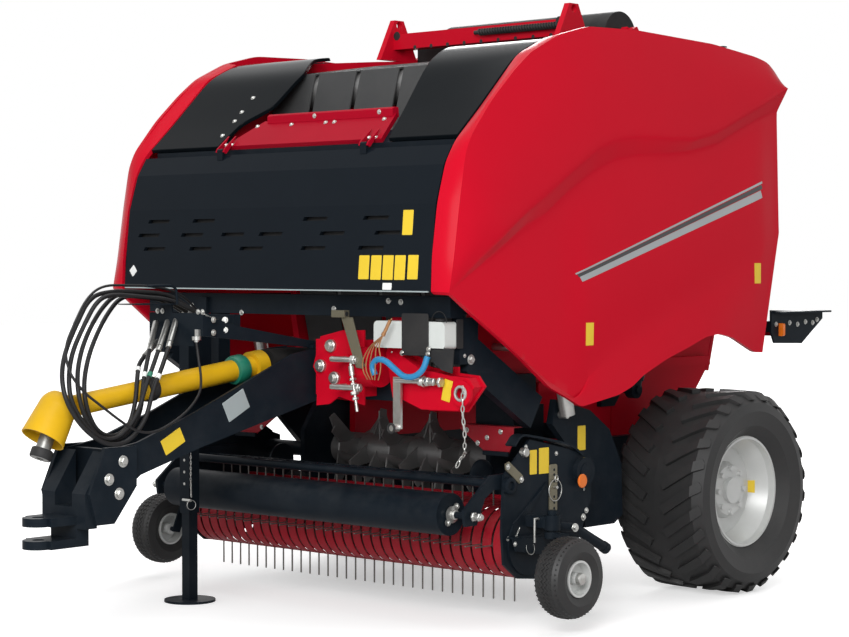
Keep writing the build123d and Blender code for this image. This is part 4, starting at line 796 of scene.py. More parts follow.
def side_surface():
    """The panel's face as a grid: five lines from front to rear are joined row by row, and each line's
    distance from the middle eases out from the front ridge to a value of its own and in again at the rear."""
    s = np.linspace(0, 1, SKIN_COLUMNS)
    keys = []
    for line, rise, front, fall, rear in SIDE_LINES:
        x = RIDGE_X + rise * ease(s / front) - fall * ease((s - rear) / (1 - rear))
        keys.append(np.column_stack([x, resample(line, SKIN_COLUMNS)]))
    keys = np.stack(keys)
    steps = (10, 18, 8, 22)
    rows = np.concatenate([k + np.arange(n) / n for k, n in enumerate(steps)] + [[len(steps)]])
    low = np.minimum(rows.astype(int), len(steps) - 1)
    share = (rows - low)[:, None, None]
    grid = keys[low] * (1 - share) + keys[low + 1] * share
    arch = np.sin(np.pi * (rows - 3).clip(0, 1))[:, None] * 0.012 * ease(s / 0.1)
    swell = np.sin(np.pi * (rows - 1).clip(0, 1))[:, None] * 0.01
    swell = swell * ease((s - 0.3) / 0.1) * ease((1 - s) / 0.1)
    grid[..., 0] = eased(grid[..., 0] + arch + swell)
    return grid


SIDE_GRID = side_surface()


def on_side(y, z, proud=0.0012):
    """Points on the panel's face: the four nearest grid points weigh in by the inverse of their distance."""
    flat = SIDE_GRID.reshape(-1, 3)
    place = np.column_stack([np.ravel(y), np.ravel(z)])
    gap = np.linalg.norm(place[:, None] - flat[None, :, 1:], axis=2)
    near = np.argpartition(gap, 4, axis=1)[:, :4]
    weight = 1 / (np.take_along_axis(gap, near, axis=1) + 1e-5)
    x = (flat[near, 0] * weight).sum(axis=1) / weight.sum(axis=1)
    return np.column_stack([x + proud, place])


def side_skin():
    """The face, and the front strip ruled from the face's front ridge to the edge beside the bonnet."""
    top = SIDE_GRID[-1]
    count = int(np.searchsorted(top[:, 1], -0.11)) + 1
    inner = np.column_stack([np.full(count, 1.078), resample(STRIP_INNER, count)])
    across = np.linspace(0, 1, 9)[:, None, None]
    strip = top[None, :count] * (1 - across) + inner[None] * across
    strip[..., 1] -= 0.006 * np.sin(np.pi * across[..., 0])
    return Shape().add(shell(SIDE_GRID, SKIN_THICK, INWARD)).add(shell(strip, SKIN_THICK, (0, 0.8, -0.6)))


STRIPES = (      # name, finish, foot and head as shares of the band, start in y
    ("low", "stripe_silver", -0.1, 0.38, 0.045), ("middle", "stripe_grey", 0.5, 0.76, 0.02),
    ("high", "stripe_silver", 0.86, 1.00, 0.000),
)


def stripe_strip(foot, head, start):
    """A slanting stripe laid on the face: straight between two places, its ends cut on the slant."""
    y = np.linspace(start, 1.6, 90)
    share = (y - 0.02) / 1.597
    low, high = 1.626 + 0.453 * share, 1.675 + 0.484 * share
    rows = [on_side(y - 0.04 * (part - foot), low + (high - low) * part) for part in (foot, head)]
    return shell(np.stack(rows), FOIL, INWARD)


WING_LINE = [(-0.722, 2.309), (-0.581, 2.436), (-0.306, 2.705), (-0.104, 2.796), (0.5, 2.85)]
WINGS = (      # side, where the wing stops at the rear, then its inner edge as (y, distance from the middle)
    (1, 0.5, ((-0.745, 0.64), (-0.1, 0.45))),
    (-1, 0.02, ((-0.745, 0.56), (-0.585, 0.525), (-0.5, 0.38), (-0.306, 0.35), (-0.104, 0.48))),
)
WING_OUTER = 1.067


def wing_skin():
    """The black wings: one line, much eased, carried across in x from each wing's own eased inner edge."""
    line = eased(resample(WING_LINE, 90), 26)
    wings = Shape()
    across = np.linspace(0, 1, 7)
    for side, rear, edge in WINGS:
        part = line[line[:, 0] <= rear]
        inner = eased(np.interp(part[:, 0], *np.transpose(edge)), 4)[:, None]
        x = side * (inner * (1 - across) + WING_OUTER * across)
        wings.add(shell(spread(x, part[:, :1], part[:, 1:]), 0.02, (0, 0.5, -0.86)))
    return wings


class BALER_OT_mouldings(bpy.types.Operator):
    """Side panels with their creases, front strips and stripes, and the curved black wings"""
    bl_idname = "baler.mouldings"
    bl_label = "Side panels"

    def execute(self, context):
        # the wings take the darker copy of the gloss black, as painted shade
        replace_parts(piece("wing_skins", wing_skin(), "wing_black", 35, bevel=0.003), "wings")
        body = "side_panel_body"
        for skin, (side, _) in zip(side_pieces("side_skin", side_skin(), "body_red", body, 28), SIDES):
            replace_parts(skin, f"side_panel_{side}")
            round_edge(skin, 0.009, 3, 40.0)
        for name, material, foot, head, start in STRIPES:
            side_pieces(f"stripe_{name}", stripe_strip(foot, head, start), material, body, 30)
        hinges = Shape()
        sleeve = [(0.0068, -0.02), (0.013, -0.02), (0.013, 0.02), (0.0068, 0.02)]
        for y in (0.57, 1.3):
            hinges.add(lathe(sleeve, (1.066, y, 2.838), (0, 1, 0), 20))
            hinges.add(slab(rounded(0.094, 0.04, 0.008), (1.113, y, 2.8475), (OUT, (0, 1, 0)), 0.006,
                            0.001))
        side_pieces("side_hinges", hinges, "black_paint", body, 35)
        return {"FINISHED"}


# ---- plates without words ----
BONNET_PLATES = (
    (0.6435, 1.699, 0.066, 0.112), (0.721, 1.698, 0.066, 0.114), (0.797, 1.698, 0.066, 0.114),
    (0.8725, 1.698, 0.066, 0.114), (0.953, 1.7, 0.064, 0.112), (0.904, 1.905, 0.064, 0.116),
)
WHITE_PLATES = (
    (0.797, 1.611, 0.057, 0.032, (OUT, (0, 0.075, 1))),
    (-1.005, 1.678, 0.044, 0.044, ((1, 0.02, 0.9), (-0.9, 0.08, 1))),
)
# height of the pale strip painted as the glint on the bonnet's lower edge
GLINT_HEIGHT = 0.006
STAND_OFF = 0.0004              # between the bonnet and a plate on it
HAIR = 0.0002                   # between a flat face and what lies on it
SLOPE = math.radians(26.5)      # how steeply the drawbar's side plates rise


def bonnet_y(z):
    """Front of the bonnet at a height: straight runs between the heights at which its outline turns."""
    return np.interp(z, (1.588, 1.75, 1.99, 2.17, 2.262), (-0.907, -0.895, -0.87, -0.815, -0.757))


class BALER_OT_plates(bpy.types.Operator):
    """Blank plates on the bonnet, side panels, drawbar and covers, a pale strip painted as the glint on the
    bonnet's lower edge, and a dark sheet of painted shade behind the bonnet's slots
    """
    bl_idname = "baler.plates"
    bl_label = "Plates"

    def execute(self, context):
        yellow, white, sides, covers = Shape(), Shape(), Shape(), Shape()
        for x, z, *size in BONNET_PLATES:
            tab(yellow.add, (x, bonnet_y(z) + STAND_OFF, z), size, (OUT, (0, 0.085, 1)), 0.0018)
        for x, z, *size, facing in WHITE_PLATES:
            tab(white.add, (x, bonnet_y(z) + STAND_OFF, z), size, facing, 0.0018)
        piece("bonnet_plates_yellow", yellow, "plate_yellow", body="bonnet_body")
        piece("bonnet_plates_white", white, "plate_white", body="bonnet_body")
        # painted highlight: a thin pale grey strip along the bonnet's black lower edge stands in for the
        # glint on its rounded edge
        lip = smooth_path([(-1.058, -0.9095, 1.5915), (-0.5, -0.9098, 1.5905), (0.5, -0.9098, 1.5895),
                           (1.058, -0.9095, 1.5885)], 16)
        piece("bonnet_edge_glint", sweep(lip, rect(-0.0035, -GLINT_HEIGHT / 2, 0.0035, GLINT_HEIGHT / 2)),
              "plate_grey", body="bonnet_body", slot="bonnet_black")
        self.shade_sheet()
        for y, z, width, height in ((0.103, 1.375, 0.06, 0.11), (1.559, 1.663, 0.062, 0.108)):
            a, b = np.meshgrid(np.linspace(-0.5, 0.5, 6), np.linspace(-0.5, 0.5, 8))
            sides.add(shell(on_side(y + a * width, z + b * height).reshape(8, 6, 3), FOIL, INWARD))
        side_pieces("side_plates", sides, "plate_yellow", "side_panel_body")
        self.drawbar()
        tab(covers.add, (1.0002, 0.29, 0.85), (0.062, 0.122), LEFT)
        tab(covers.add, (1.0515, -0.7735, 1.134), (0.052, 0.1), ((1, 0, -0.22), (0.22, 0, 1)))
        piece("cover_plates", covers, "plate_yellow")
        return {"FINISHED"}

    def shade_sheet(self):
        """A dark sheet of painted shade that follows the bonnet a hand's breadth behind it, so the slots look
        dark.
        """
        z = np.linspace(1.625, 2.105, 14)[:, None]
        grid = spread(np.linspace(-1.02, 1.02, 12), bonnet_y(z) + 0.034, z)
        # painted shade: this sheet only darkens what shows through the slots
        piece("bonnet_shade_sheet", shell(grid, 0.003, (0, 1, 0)), "soft_black", 40, body="bonnet_body",
              slot="cover_plastic")

    def drawbar(self):
        facing = ((0, math.cos(SLOPE), math.sin(SLOPE)), (0, -math.sin(SLOPE), math.cos(SLOPE)))
        silver, yellow, fixings = Shape(), Shape(), Shape()
        tab(silver.add, (0.1502, -1.254, 1.05), (0.148, 0.1), facing, 0.003)
        tab(yellow.add, (0.1502, -1.647, 0.904), (0.13, 0.075), facing)
        bolts(fixings.both, [(0.1715, -1.96, 0.835), (0.1715, -2.041, 0.759), (0.1715, -1.983, 0.692)], OUT,
              0.017)
        bolts(fixings.add, [(0.126, -1.3, 1.405), (0.126, -1.3, 1.452)], (1, -1, 0), 0.009)
        piece("drawbar_plate_grey", silver, "plate_grey")
        piece("drawbar_plate_yellow", yellow, "plate_yellow")
        piece("hitch_bolts", fixings, "zinc", 30)


# ---- side gearbox: fixings, screw, lever, grease lines, tank strap ----
GEAR_FACE = -0.751
GREASE_TIE = (0.733, -0.862, 1.386)
GREASE_LINES = (      # how far each line bows out, and its foot
    (0.605, 1.27, 0.622), (0.625, 1.265, 0.64), (0.65, 1.268, 0.655), (0.682, 1.272, 0.668),
    (0.715, 1.275, 0.69),
)
LINK_PARTS = (        # start along the link, radius, length along the link, sides
    (0, 0.0075, 1, 14), (0.05, 0.013, 0.2, 14), (0.3, 0.017, 0.05, 6), (0.4, 0.015, 0.05, 6),
    (0.58, 0.021, 0.07, 6), (0.7, 0.016, 0.06, 6),
)


class BALER_OT_gear(bpy.types.Operator):
    """The gearbox's fixings, screw, lever, grease lines, suction hose, tank strap, chain and hub ring"""
    bl_idname = "baler.gear"
    bl_label = "Gearbox fittings"

    def execute(self, context):
        zinc, steel, black, olive = Shape(), Shape(), Shape(), Shape()
        for x, z in ((0.288, 1.32), (0.219, 1.221), (0.314, 1.165)):
            zinc.add(lathe([(0.031, 0), (0.031, 0.015), (0.027, 0.019)], (x, GEAR_FACE, z), AHEAD, 28))
            bolt(zinc.add, (x, GEAR_FACE - 0.018, z), AHEAD, 0.018, 1.3)
        for z, reach in ((1.262, 0.548), (1.13, 0.575)):
            rod(zinc.add, (0.4, -0.768, z), (0.4, -0.866, z), 0.012)
            bar(zinc.add, (0.384, -0.855, z), reach - 0.404, 0.0135)
            bar(zinc.add, (reach - 0.028, -0.855, z), 0.028, 0.023, 6)
            bar(zinc.add, (reach, -0.855, z), 0.008, 0.013)
        spot, way = np.array([(0.53, -0.872, 1.245), (0.044, 0, -0.225)])
        for share, radius, reach, sides in LINK_PARTS:
            rod(zinc.add, spot + way * share, spot + way * (share + reach), radius, sides)
        olive.add(slab([(0.448, 1.462), (0.522, 1.462), (0.6, 1.236), (0.585, 1.222), (0.545, 1.226)],
                       (0, -0.846, 0), FRONT, 0.006, 0.001))
        olive.add(sweep([(0.398, -0.85, 1.478), (0.484, -0.85, 1.478)], rect(-0.017, -0.017, 0.017, 0.017)))
        piece("lever_flat", olive, "olive_grey", bevel=0.0015)
        bar(black.add, (0.483, -0.85, 1.478), 0.0022, 0.0115)
        self.grease()
        self.tank(black, zinc)
        for x, radius, reach, sides in ((0.905, 0.022, 0.02, 20), (0.93, 0.026, 0.008, 20),
                                        (0.946, 0.022, 0.02, 6), (0.99, 0.019, 0.012, 6),
                                        (1.028, 0.024, 0.016, 6)):
            bar(zinc.add, (x, -0.802, 1.172), reach, radius, sides)
        ring(black.add, (0.768, -0.8465, 0.95), AHEAD, 0.02, 0.006)
        ring(steel.add, (1.146, -0.7895, 1.125), AHEAD, 0.031, 0.0075)
        chain(zinc.add, [(1.172, -0.802, 1.158), (1.16, -0.79, 1.045), (1.15, -0.765, 0.94),
                         (1.128, -0.74, 0.868), (1.098, -0.706, 0.838), (1.06, -0.69, 0.815),
                         (1.035, -0.7, 0.76)], 0.03, 0.003, 0.0135)
        for x, z in ((0.727, 1.44), (0.718, 1.405), (0.71, 1.37), (0.702, 1.335), (0.695, 1.3)):
            zinc.add(lathe([(0.0045, 0), (0.0045, 0.003), (0.003, 0.004)], (x, -0.7625, z), AHEAD, 10))
        bolt(zinc.add, (1.054, -0.612, 1.271), OUT, 0.015)
        bolt(zinc.add, (1.054, -0.655, 1.29), OUT, 0.006)
        for x, z in ((-0.35, 1.47), (0.3, 1.498), (0.66, 1.54), (0.74, 1.536), (-0.72, 1.5)):
            bolt(zinc.add, (x, -0.7495, z), AHEAD, 0.009)
        piece("gear_fixings", zinc, "zinc", 30)
        piece("hub_ring", steel, "zinc", 40)
        piece("gear_black_parts", black, "soft_black", 35)
        return {"FINISHED"}

    def grease(self):
        copper = Shape()
        for bow, middle, foot in GREASE_LINES:
            line = [(0.775, -0.85, 1.462), (0.765, -0.86, 1.43), GREASE_TIE,
                    (0.5 * (bow + 0.7), -0.864, 1.33), (bow, -0.862, middle), (bow - 0.004, -0.86, 1.215),
                    (foot, -0.852, 1.172)]
            copper.add(sweep(smooth_path(line, 36), 0.0032 * circle(6), up=(0, -1, 0.05)))
        rod(copper.add, (0.771, -0.855, 1.455), (0.735, -0.8615, 1.388), 0.0085)
        rod(copper.add, (0.7375, -0.861, 1.394), (0.73, -0.8622, 1.381), 0.0105)
        piece("grease_lines", copper, "copper", 40)
        blue = [(0.664, -0.846, 1.196), (0.654, -0.852, 1.236), (0.69, -0.858, 1.268),
                (0.745, -0.858, 1.262), (0.8, -0.856, 1.228), (0.855, -0.852, 1.196),
                (0.915, -0.846, 1.198), (0.96, -0.838, 1.232), (0.978, -0.826, 1.29)]
        piece("suction_hose", sweep(smooth_path(blue, 60), 0.0145 * circle(14), up=(0, -1, 0.05)),
              "hose_blue", 40)

    def tank(self, black, zinc):
        black.add(slab(rounded(0.166, 0.196, 0.01), (0.88, -0.802, 1.388), FRONT, 0.005, 0.001))
        bar(black.add, (0.792, -0.808, 1.296), 0.176, 0.006)
        black.add(slab([(0.925, 1.328), (1.11, 1.328), (1.1, 1.215), (1.04, 1.228), (0.99, 1.262),
                        (0.925, 1.266)], (0, -0.79, 0), FRONT, 0.01, 0.001))
        black.add(slab(rounded(0.046, 0.135, 0.006), (1.062, -0.7, 1.392), LEFT, 0.004, 0.001))
        rod(black.add, (1, -0.76, 1.448), (1, -0.76, 1.462), 0.026, 20)
        arc = np.linspace(0, np.pi, 16)
        black.add(sweep(spread(1 + 0.046 * np.cos(arc), -0.772, 1.446 + 0.05 * np.sin(arc)),
                        0.0022 * circle(6), up=(0, 1, 0)))
        for x, z in ((0.8, 1.3), (0.962, 1.3), (0.966, 1.322)):
            bolt(zinc.add, (x, -0.8068, z), AHEAD, 0.008)


# ---- pickup: end plates, castor brackets, reel floor, windguard and roller ends ----
PLATE_X = 1.104       # outer face of the pickup's end plates
REEL_Y, REEL_Z = -0.255, 0.385
ROLLER_Y, ROLLER_Z = -0.64, 0.545


class BALER_OT_pickup(bpy.types.Operator):
    """Flanges, braces, pins, reflectors and plates at the pickup's ends, and the floor behind the reel"""
    bl_idname = "baler.pickup"
    bl_label = "Pickup fittings"

    def execute(self, context):
        black, zinc, yellow, amber, steel = Shape(), Shape(), Shape(), Shape(), Shape()
        self.end_plate(black, zinc, steel)
        self.castor_bracket(black, zinc)
        for y, z, width, height in ((-0.215, 0.77, 0.052, 0.116), (-0.135, 0.772, 0.074, 0.124)):
            yellow.both(slab(rounded(width, height, 0.003), (PLATE_X + HAIR, y, z), LEFT, 0.0015))
        amber.both(lathe([(0.034, 0), (0.034, 0.005), (0.03, 0.008), (0.01, 0.009)], (1.1315, 0.127, 0.657),
                         OUT, 32))
        piece("pickup_black_parts", black, "black_paint", 35, body="pickup")
        piece("pickup_zinc_parts", zinc, "zinc", 30, body="pickup")
        piece("pickup_flat_bars", steel, "olive_grey", bevel=0.001, body="pickup")
        piece("pickup_plates", yellow, "plate_yellow", body="pickup")
        piece("pickup_reflectors", amber, "amber", 30, body="pickup")
        self.reel_floor()
        self.roller_ends()
        return {"FINISHED"}

    def end_plate(self, black, zinc, steel):
        """Folded top flange, pivot rings, brace and flat bar on each end plate."""
        flange = smooth_path([(1.094, -0.372, 0.858), (1.094, -0.318, 0.902), (1.094, -0.225, 0.893),
                              (1.094, -0.06, 0.862), (1.094, 0.06, 0.832), (1.094, 0.15, 0.782)], 30)
        black.both(sweep(flange, rect(-0.03, -0.005, 0.03, 0.005)))
        black.both(lathe([(0.04, 0), (0.04, 0.022), (0.034, 0.026), (0.022, 0.026), (0.022, 0.016),
                          (0.004, 0.016)], (PLATE_X, -0.405, 0.672), OUT, 32))
        brace = [(-0.15, 0.645), (-0.118, 0.668), (-0.3, 0.478), (-0.345, 0.462), (-0.372, 0.488),
                 (-0.345, 0.505)]
        black.both(slab(brace, (PLATE_X, 0, 0), LEFT, 0.009, 0.001))
        lever = [(-0.43, 0.776), (-0.403, 0.786), (-0.3, 0.712), (-0.3, 0.684), (-0.327, 0.676),
                 (-0.425, 0.748)]
        steel.both(slab(lever, (PLATE_X + 0.002, 0, 0), LEFT, 0.007, 0.001))
        for y, z in ((-0.415, 0.762), (-0.315, 0.695)):
            bolt(zinc.both, (PLATE_X + 0.009, y, z), OUT, 0.01, 1.3)
        steel.both(slab(rounded(0.058, 0.258, 0.012), (PLATE_X + 0.001, -0.07, 0.622), LEFT, 0.008, 0.001))
        for z in (0.724, 0.7, 0.668, 0.594, 0.566, 0.538):
            disc(black.both, (PLATE_X + 0.0092, -0.066, z), OUT, 0.0065, 0.0006, 14)
        ring(zinc.both, (1.12, -0.066, 0.626), (1, 0.05, 0), 0.052, 0.0022)
        ring(zinc.both, (1.124, -0.062, 0.682), (1, 0.2, 0), 0.016, 0.002, 24)
        bar(zinc.both, (1.104, -0.066, 0.64), 0.03, 0.008)
        for y, z, size in ((0.171, 0.474, 0.011), (0.196, 0.505, 0.009), (-0.27, 0.846, 0.007),
                           (-0.04, 0.8, 0.007), (-0.4, 0.42, 0.008), (-0.335, 0.385, 0.008)):
            bolt(zinc.both, (PLATE_X + HAIR, y, z), OUT, size)
        chain(zinc.both, [(1.112, 0.182, 0.745), (1.112, 0.174, 0.69), (1.112, 0.17, 0.64),
                          (1.112, 0.168, 0.592)])
        chain(zinc.both, [(1.116, -0.33, 0.47), (1.118, -0.36, 0.425), (1.118, -0.375, 0.38)])
        zinc.both(lathe([(0.019, 0), (0.022, 0.003), (0.022, 0.03), (0.018, 0.034)], (1.095, -0.29, 0.822),
                        OUT, 20))

    def castor_bracket(self, black, zinc):
        """Support tube, folded bracket and handled pin beside each castor."""
        tube = smooth_path([(1.15, -0.165, 0.462), (1.185, -0.09, 0.458), (1.198, -0.01, 0.44),
                            (1.2, 0.11, 0.382), (1.2, 0.222, 0.328)], 26)
        black.both(sweep(tube, 0.0255 * circle(16)))
        black.both(lathe([(0.029, 0), (0.029, 0.03), (0.025, 0.034)], (1.2, 0.205, 0.336), (0, 0.88, -0.47),
                         20))
        plate = [(-0.432, 0.428), (-0.2, 0.418), (-0.176, 0.345), (-0.205, 0.332), (-0.405, 0.366)]
        black.both(slab(plate, (1.15, 0, 0), LEFT, 0.006, 0.001))
        black.both(slab(rect(0, 0, 0.046, 0.21), (1.106, -0.415, 0.4235), (OUT, (0, 1, 0)), 0.006))
        bolt(zinc.both, (1.226, -0.047, 0.452), (1, -0.2, 0.1), 0.013)
        rod(zinc.both, (1.196, -0.316, 0.402), (1.196, -0.316, 0.518), 0.006)
        rod(zinc.both, (1.196, -0.32, 0.514), (1.196, -0.195, 0.508), 0.006)
        ring(zinc.both, (1.158, -0.3, 0.372), (1, 0, 0.2), 0.03, 0.0016, 24)
        bolt(zinc.both, (1.1565, -0.412, 0.402), OUT, 0.007)

    def reel_floor(self):
        """A sheet bent round the reel, outside the tines' path, and upright ends that close the corners."""
        angle = np.radians(np.linspace(-40, 20, 22))[:, None]
        grid = spread(np.linspace(-1.085, 1.085, 4), REEL_Y + 0.3 * np.cos(angle),
                      REEL_Z + 0.3 * np.sin(angle))
        sheet = Shape().add(shell(grid, 0.003, (0, 1, -0.3)))
        sheet.both(slab([(0.682, 0.43), (1.09, 0.43), (1.09, 0.64), (0.682, 0.58)], (0, 0.054, 0), FRONT,
                        0.003))
        piece("reel_floor", sheet, "soft_black", 40, body="pickup", slot="frame_black")

    def roller_ends(self):
        """Bearing flanges where the crop roller meets its arms, with two lugs each, and nuts on its ends."""
        flanges, nuts = Shape(), Shape()
        flanges.both(lathe([(0.04, 0), (0.04, 0.008), (0.024, 0.012), (0.024, 0.026), (0.02, 0.03)],
                           (0.9605, ROLLER_Y, ROLLER_Z), OUT, 24))
        for y, z in ((ROLLER_Y + 0.03, ROLLER_Z + 0.036), (ROLLER_Y - 0.03, ROLLER_Z - 0.036)):
            disc(flanges.both, (0.9605, y, z), OUT, 0.016, 0.008, 18)
            bolt(flanges.both, (0.968, y, z), OUT, 0.009, 1.2)
        for x, reach, radius, sides in ((1.088, 0.062, 0.014, 14), (1.092, 0.014, 0.023, 6),
                                        (1.128, 0.012, 0.02, 6)):
            bar(nuts.both, (x, ROLLER_Y, ROLLER_Z), reach, radius, sides)
        piece("roller_flanges", flanges, "zinc", 35, body="press_roller")
        piece("roller_nuts", nuts, "zinc", 35, body="windguard_body")


# ---- wheels: blank plates, hub caps and small-tyre tread ----
GAUGE_Y, GAUGE_Z = -0.338, 0.261
TREAD_POINTS = 92
TREAD_RIBS = ((-0.052, 0.1745), (-0.031, 0.1835), (-0.0105, 0.187), (0.0105, 0.187), (0.031, 0.1835),
              (0.052, 0.1745))


class BALER_OT_wheels(bpy.types.Operator):
    """Rim plates on the large wheels, zigzag tread ribs and hub caps on the small ones"""
    bl_idname = "baler.wheels"
    bl_label = "Wheel fittings"

    def execute(self, context):
        label = slab(rounded(0.052, 0.078, 0.003), (1.1945, 1.4935, 0.526), ((0.92, 0.38, 0), UP), 0.0016)
        side_pieces("rim_plate", label, "plate_yellow", "wheel")
        ribs = Shape()
        turn = circle(TREAD_POINTS)
        zigzag = np.where(np.arange(TREAD_POINTS) % 2, 0.008, -0.008)
        for place, radius in TREAD_RIBS:
            path = np.column_stack([1.4195 + place + zigzag, turn * radius + (GAUGE_Y, GAUGE_Z)])
            ribs.add(sweep(path, rect(-0.004, -0.005, 0.004, 0.0018), up=OUT, closed=True))
        side_pieces("small_tread", ribs, "tyre_rubber", "gauge_wheel", 20)
        cap = lathe([(0.03, 0), (0.03, 0.012), (0.026, 0.022), (0.014, 0.027), (0.004, 0.028)],
                    (1.478, GAUGE_Y, GAUGE_Z), OUT, 28)
        side_pieces("small_hub_cap", cap, "zinc", "gauge_wheel", 40, "rim_silver")
        return {"FINISHED"}


# ---- drive shaft guard ----
SHAFT_REAR = (0.0, -0.95, 1.227)
SHAFT_WAY = (0.0, -1.245, -0.157)
GUARD_COLLAR = [(0.0487, 0.118), (0.066, 0.122), (0.071, 0.134), (0.071, 0.176), (0.066, 0.19),
                (0.0487, 0.194)]
JOINT_RING = [(0.048, 0.69), (0.055, 0.688), (0.058, 0.696), (0.058, 0.722), (0.054, 0.744), (0.044, 0.748),
              (0.044, 0.7)]
YOKE_CAP = [(0.0435, 0.188), (0.0485, 0.19), (0.05, 0.198), (0.05, 0.226), (0.047, 0.232), (0.0435, 0.232)]


class BALER_OT_shaft(bpy.types.Operator):
    """Collar and joint ring of the drive shaft's guard, and the cap on its yoke"""
    bl_idname = "baler.shaft"
    bl_label = "Drive shaft fittings"

    def execute(self, context):
        piece("guard_collar", hoop(GUARD_COLLAR, SHAFT_REAR, SHAFT_WAY, 40), "collar_green", 40)
        piece("guard_joint_ring", hoop(JOINT_RING, SHAFT_REAR, SHAFT_WAY, 40), "soft_black", 40)
        piece("yoke_cap", hoop(YOKE_CAP, (0.0, -2.195, 1.07), (0.0, -0.40674, -0.91355), 40), "soft_black",
              40, body="pto_end")
        return {"FINISHED"}


# ---- hose fittings, holder, stand ----
HOLDER_FACE = -1.4415


class BALER_OT_fittings(bpy.types.Operator):
    """Ferrules and bands on the hoses, the wire hook and bolts of their holder, the stand's pin and clip"""
    bl_idname = "baler.fittings"
    bl_label = "Hose and stand fittings"

    def execute(self, context):
        white, zinc, black, green = Shape(), Shape(), Shape(), Shape()
        r = HOSE_RADIUS
        band = [(r, -0.013), (r + 0.002, -0.012), (r + 0.002, 0.012), (r, 0.013)]
        ferrule = [(r * 0.98, 0), (r + 0.003, 0.002), (r + 0.003, 0.034), (r + 0.001, 0.04),
                   (r * 0.98, 0.04)]
        for tone, cord in zip((white, green, white, white), CORDS):
            line = np.asarray(cord[3])
            tone.add(hoop(band, 0.5 * (line[-2] + line[-3]), line[-2] - line[-3], 18))
            for first, second in ((line[-1], line[-2]), (line[0], line[1])):
                out = unit(second - first)
                zinc.add(hoop(ferrule, first + 0.004 * out, out, 18))
        hook = smooth_path([(-0.03, -1.64, 1.612), (-0.03, -1.56, 1.614), (-0.03, -1.5, 1.612),
                            (-0.03, -1.47, 1.598), (-0.03, -1.462, 1.56), (-0.03, -1.46, 1.525)], 26)
        black.add(sweep(hook, 0.0065 * circle(10), up=OUT))
        bolts(zinc.add, [(x, HOLDER_FACE, 1.492) for x in (-0.19, -0.155, 0.095, 0.126)], AHEAD, 0.008)
        bolts(zinc.add, [(0.1502, -1.395, z) for z in (1.395, 1.455)], OUT, 0.009)
        bar(zinc.add, (-0.625, -0.902, 0.52), 0.065, 0.007)
        ring(zinc.add, (-0.556, -0.905, 0.498), (1, -0.3, 0), 0.024, 0.0018, 24)
        chain(zinc.add, [(-0.565, -0.9, 0.76), (-0.562, -0.903, 0.69), (-0.56, -0.905, 0.61),
                         (-0.556, -0.905, 0.525)])
        for z in (0.6, 0.66, 0.72):
            disc(zinc.add, (-0.62, -0.8952, z), AHEAD, 0.007, 0.0008, 16)
        piece("hose_bands_white", white, "plate_white", 35)
        piece("hose_band_green", green, "collar_green", 35, slot="hose_rubber")
        piece("hose_and_stand_zinc", zinc, "zinc", 30)
        piece("hose_hook", black, "black_paint", 40)
        return {"FINISHED"}


# ---- feed intake ----
class BALER_OT_intake(bpy.types.Operator):
    """Dark red guards at both ends of the feed opening, each with a folded lip, bolts and a round cover"""
    bl_idname = "baler.intake"
    bl_label = "Intake guards"

    def execute(self, context):
        red, zinc, black, discs = Shape(), Shape(), Shape(), Shape()
        outline = [(0.64, 0.912), (0.672, 0.924), (0.985, 0.927), (0.985, 0.86), (0.955, 0.8), (0.8, 0.806)]
        red.both(slab(outline, (0, -0.215, 0), FRONT, 0.005, 0.001))
        red.both(slab(rect(0.655, 0, 0.985, 0.075), (0, -0.218, 0.926), (OUT, (0, 1, 0)), 0.004))
        black.both(slab(rect(0.8, 0, 0.96, 0.022), (0, -0.222, 0.788), FRONT, 0.012, 0.002))
        for x, z in ((0.69, 0.903), (0.905, 0.905), (0.82, 0.872), (0.76, 0.843)):
            bolt(zinc.both, (x, -0.2205, z), AHEAD, 0.008)
        black.both(slab([(0.69, 0.93), (0.93, 0.93), (0.9, 1.07), (0.69, 1.07)], (0, -0.15, 0), FRONT,
                        0.004))
        discs.both(lathe([(0.086, 0), (0.086, 0.01), (0.078, 0.016), (0.03, 0.018)], (0.7, -0.128, 0.668),
                         OUT, 40))
        piece("intake_discs", discs, "black_paint", 35, body="pickup")
        piece("intake_guards", red, "band_red", 35)
        piece("intake_bolts", zinc, "zinc", 30)
        piece("intake_covers", black, "black_paint", 35)
        return {"FINISHED"}


# ---- top, lamp bracket and rear ----
BEAM_FACE = 0.64
HINGE_WAY = (0, -0.669, 0.743)


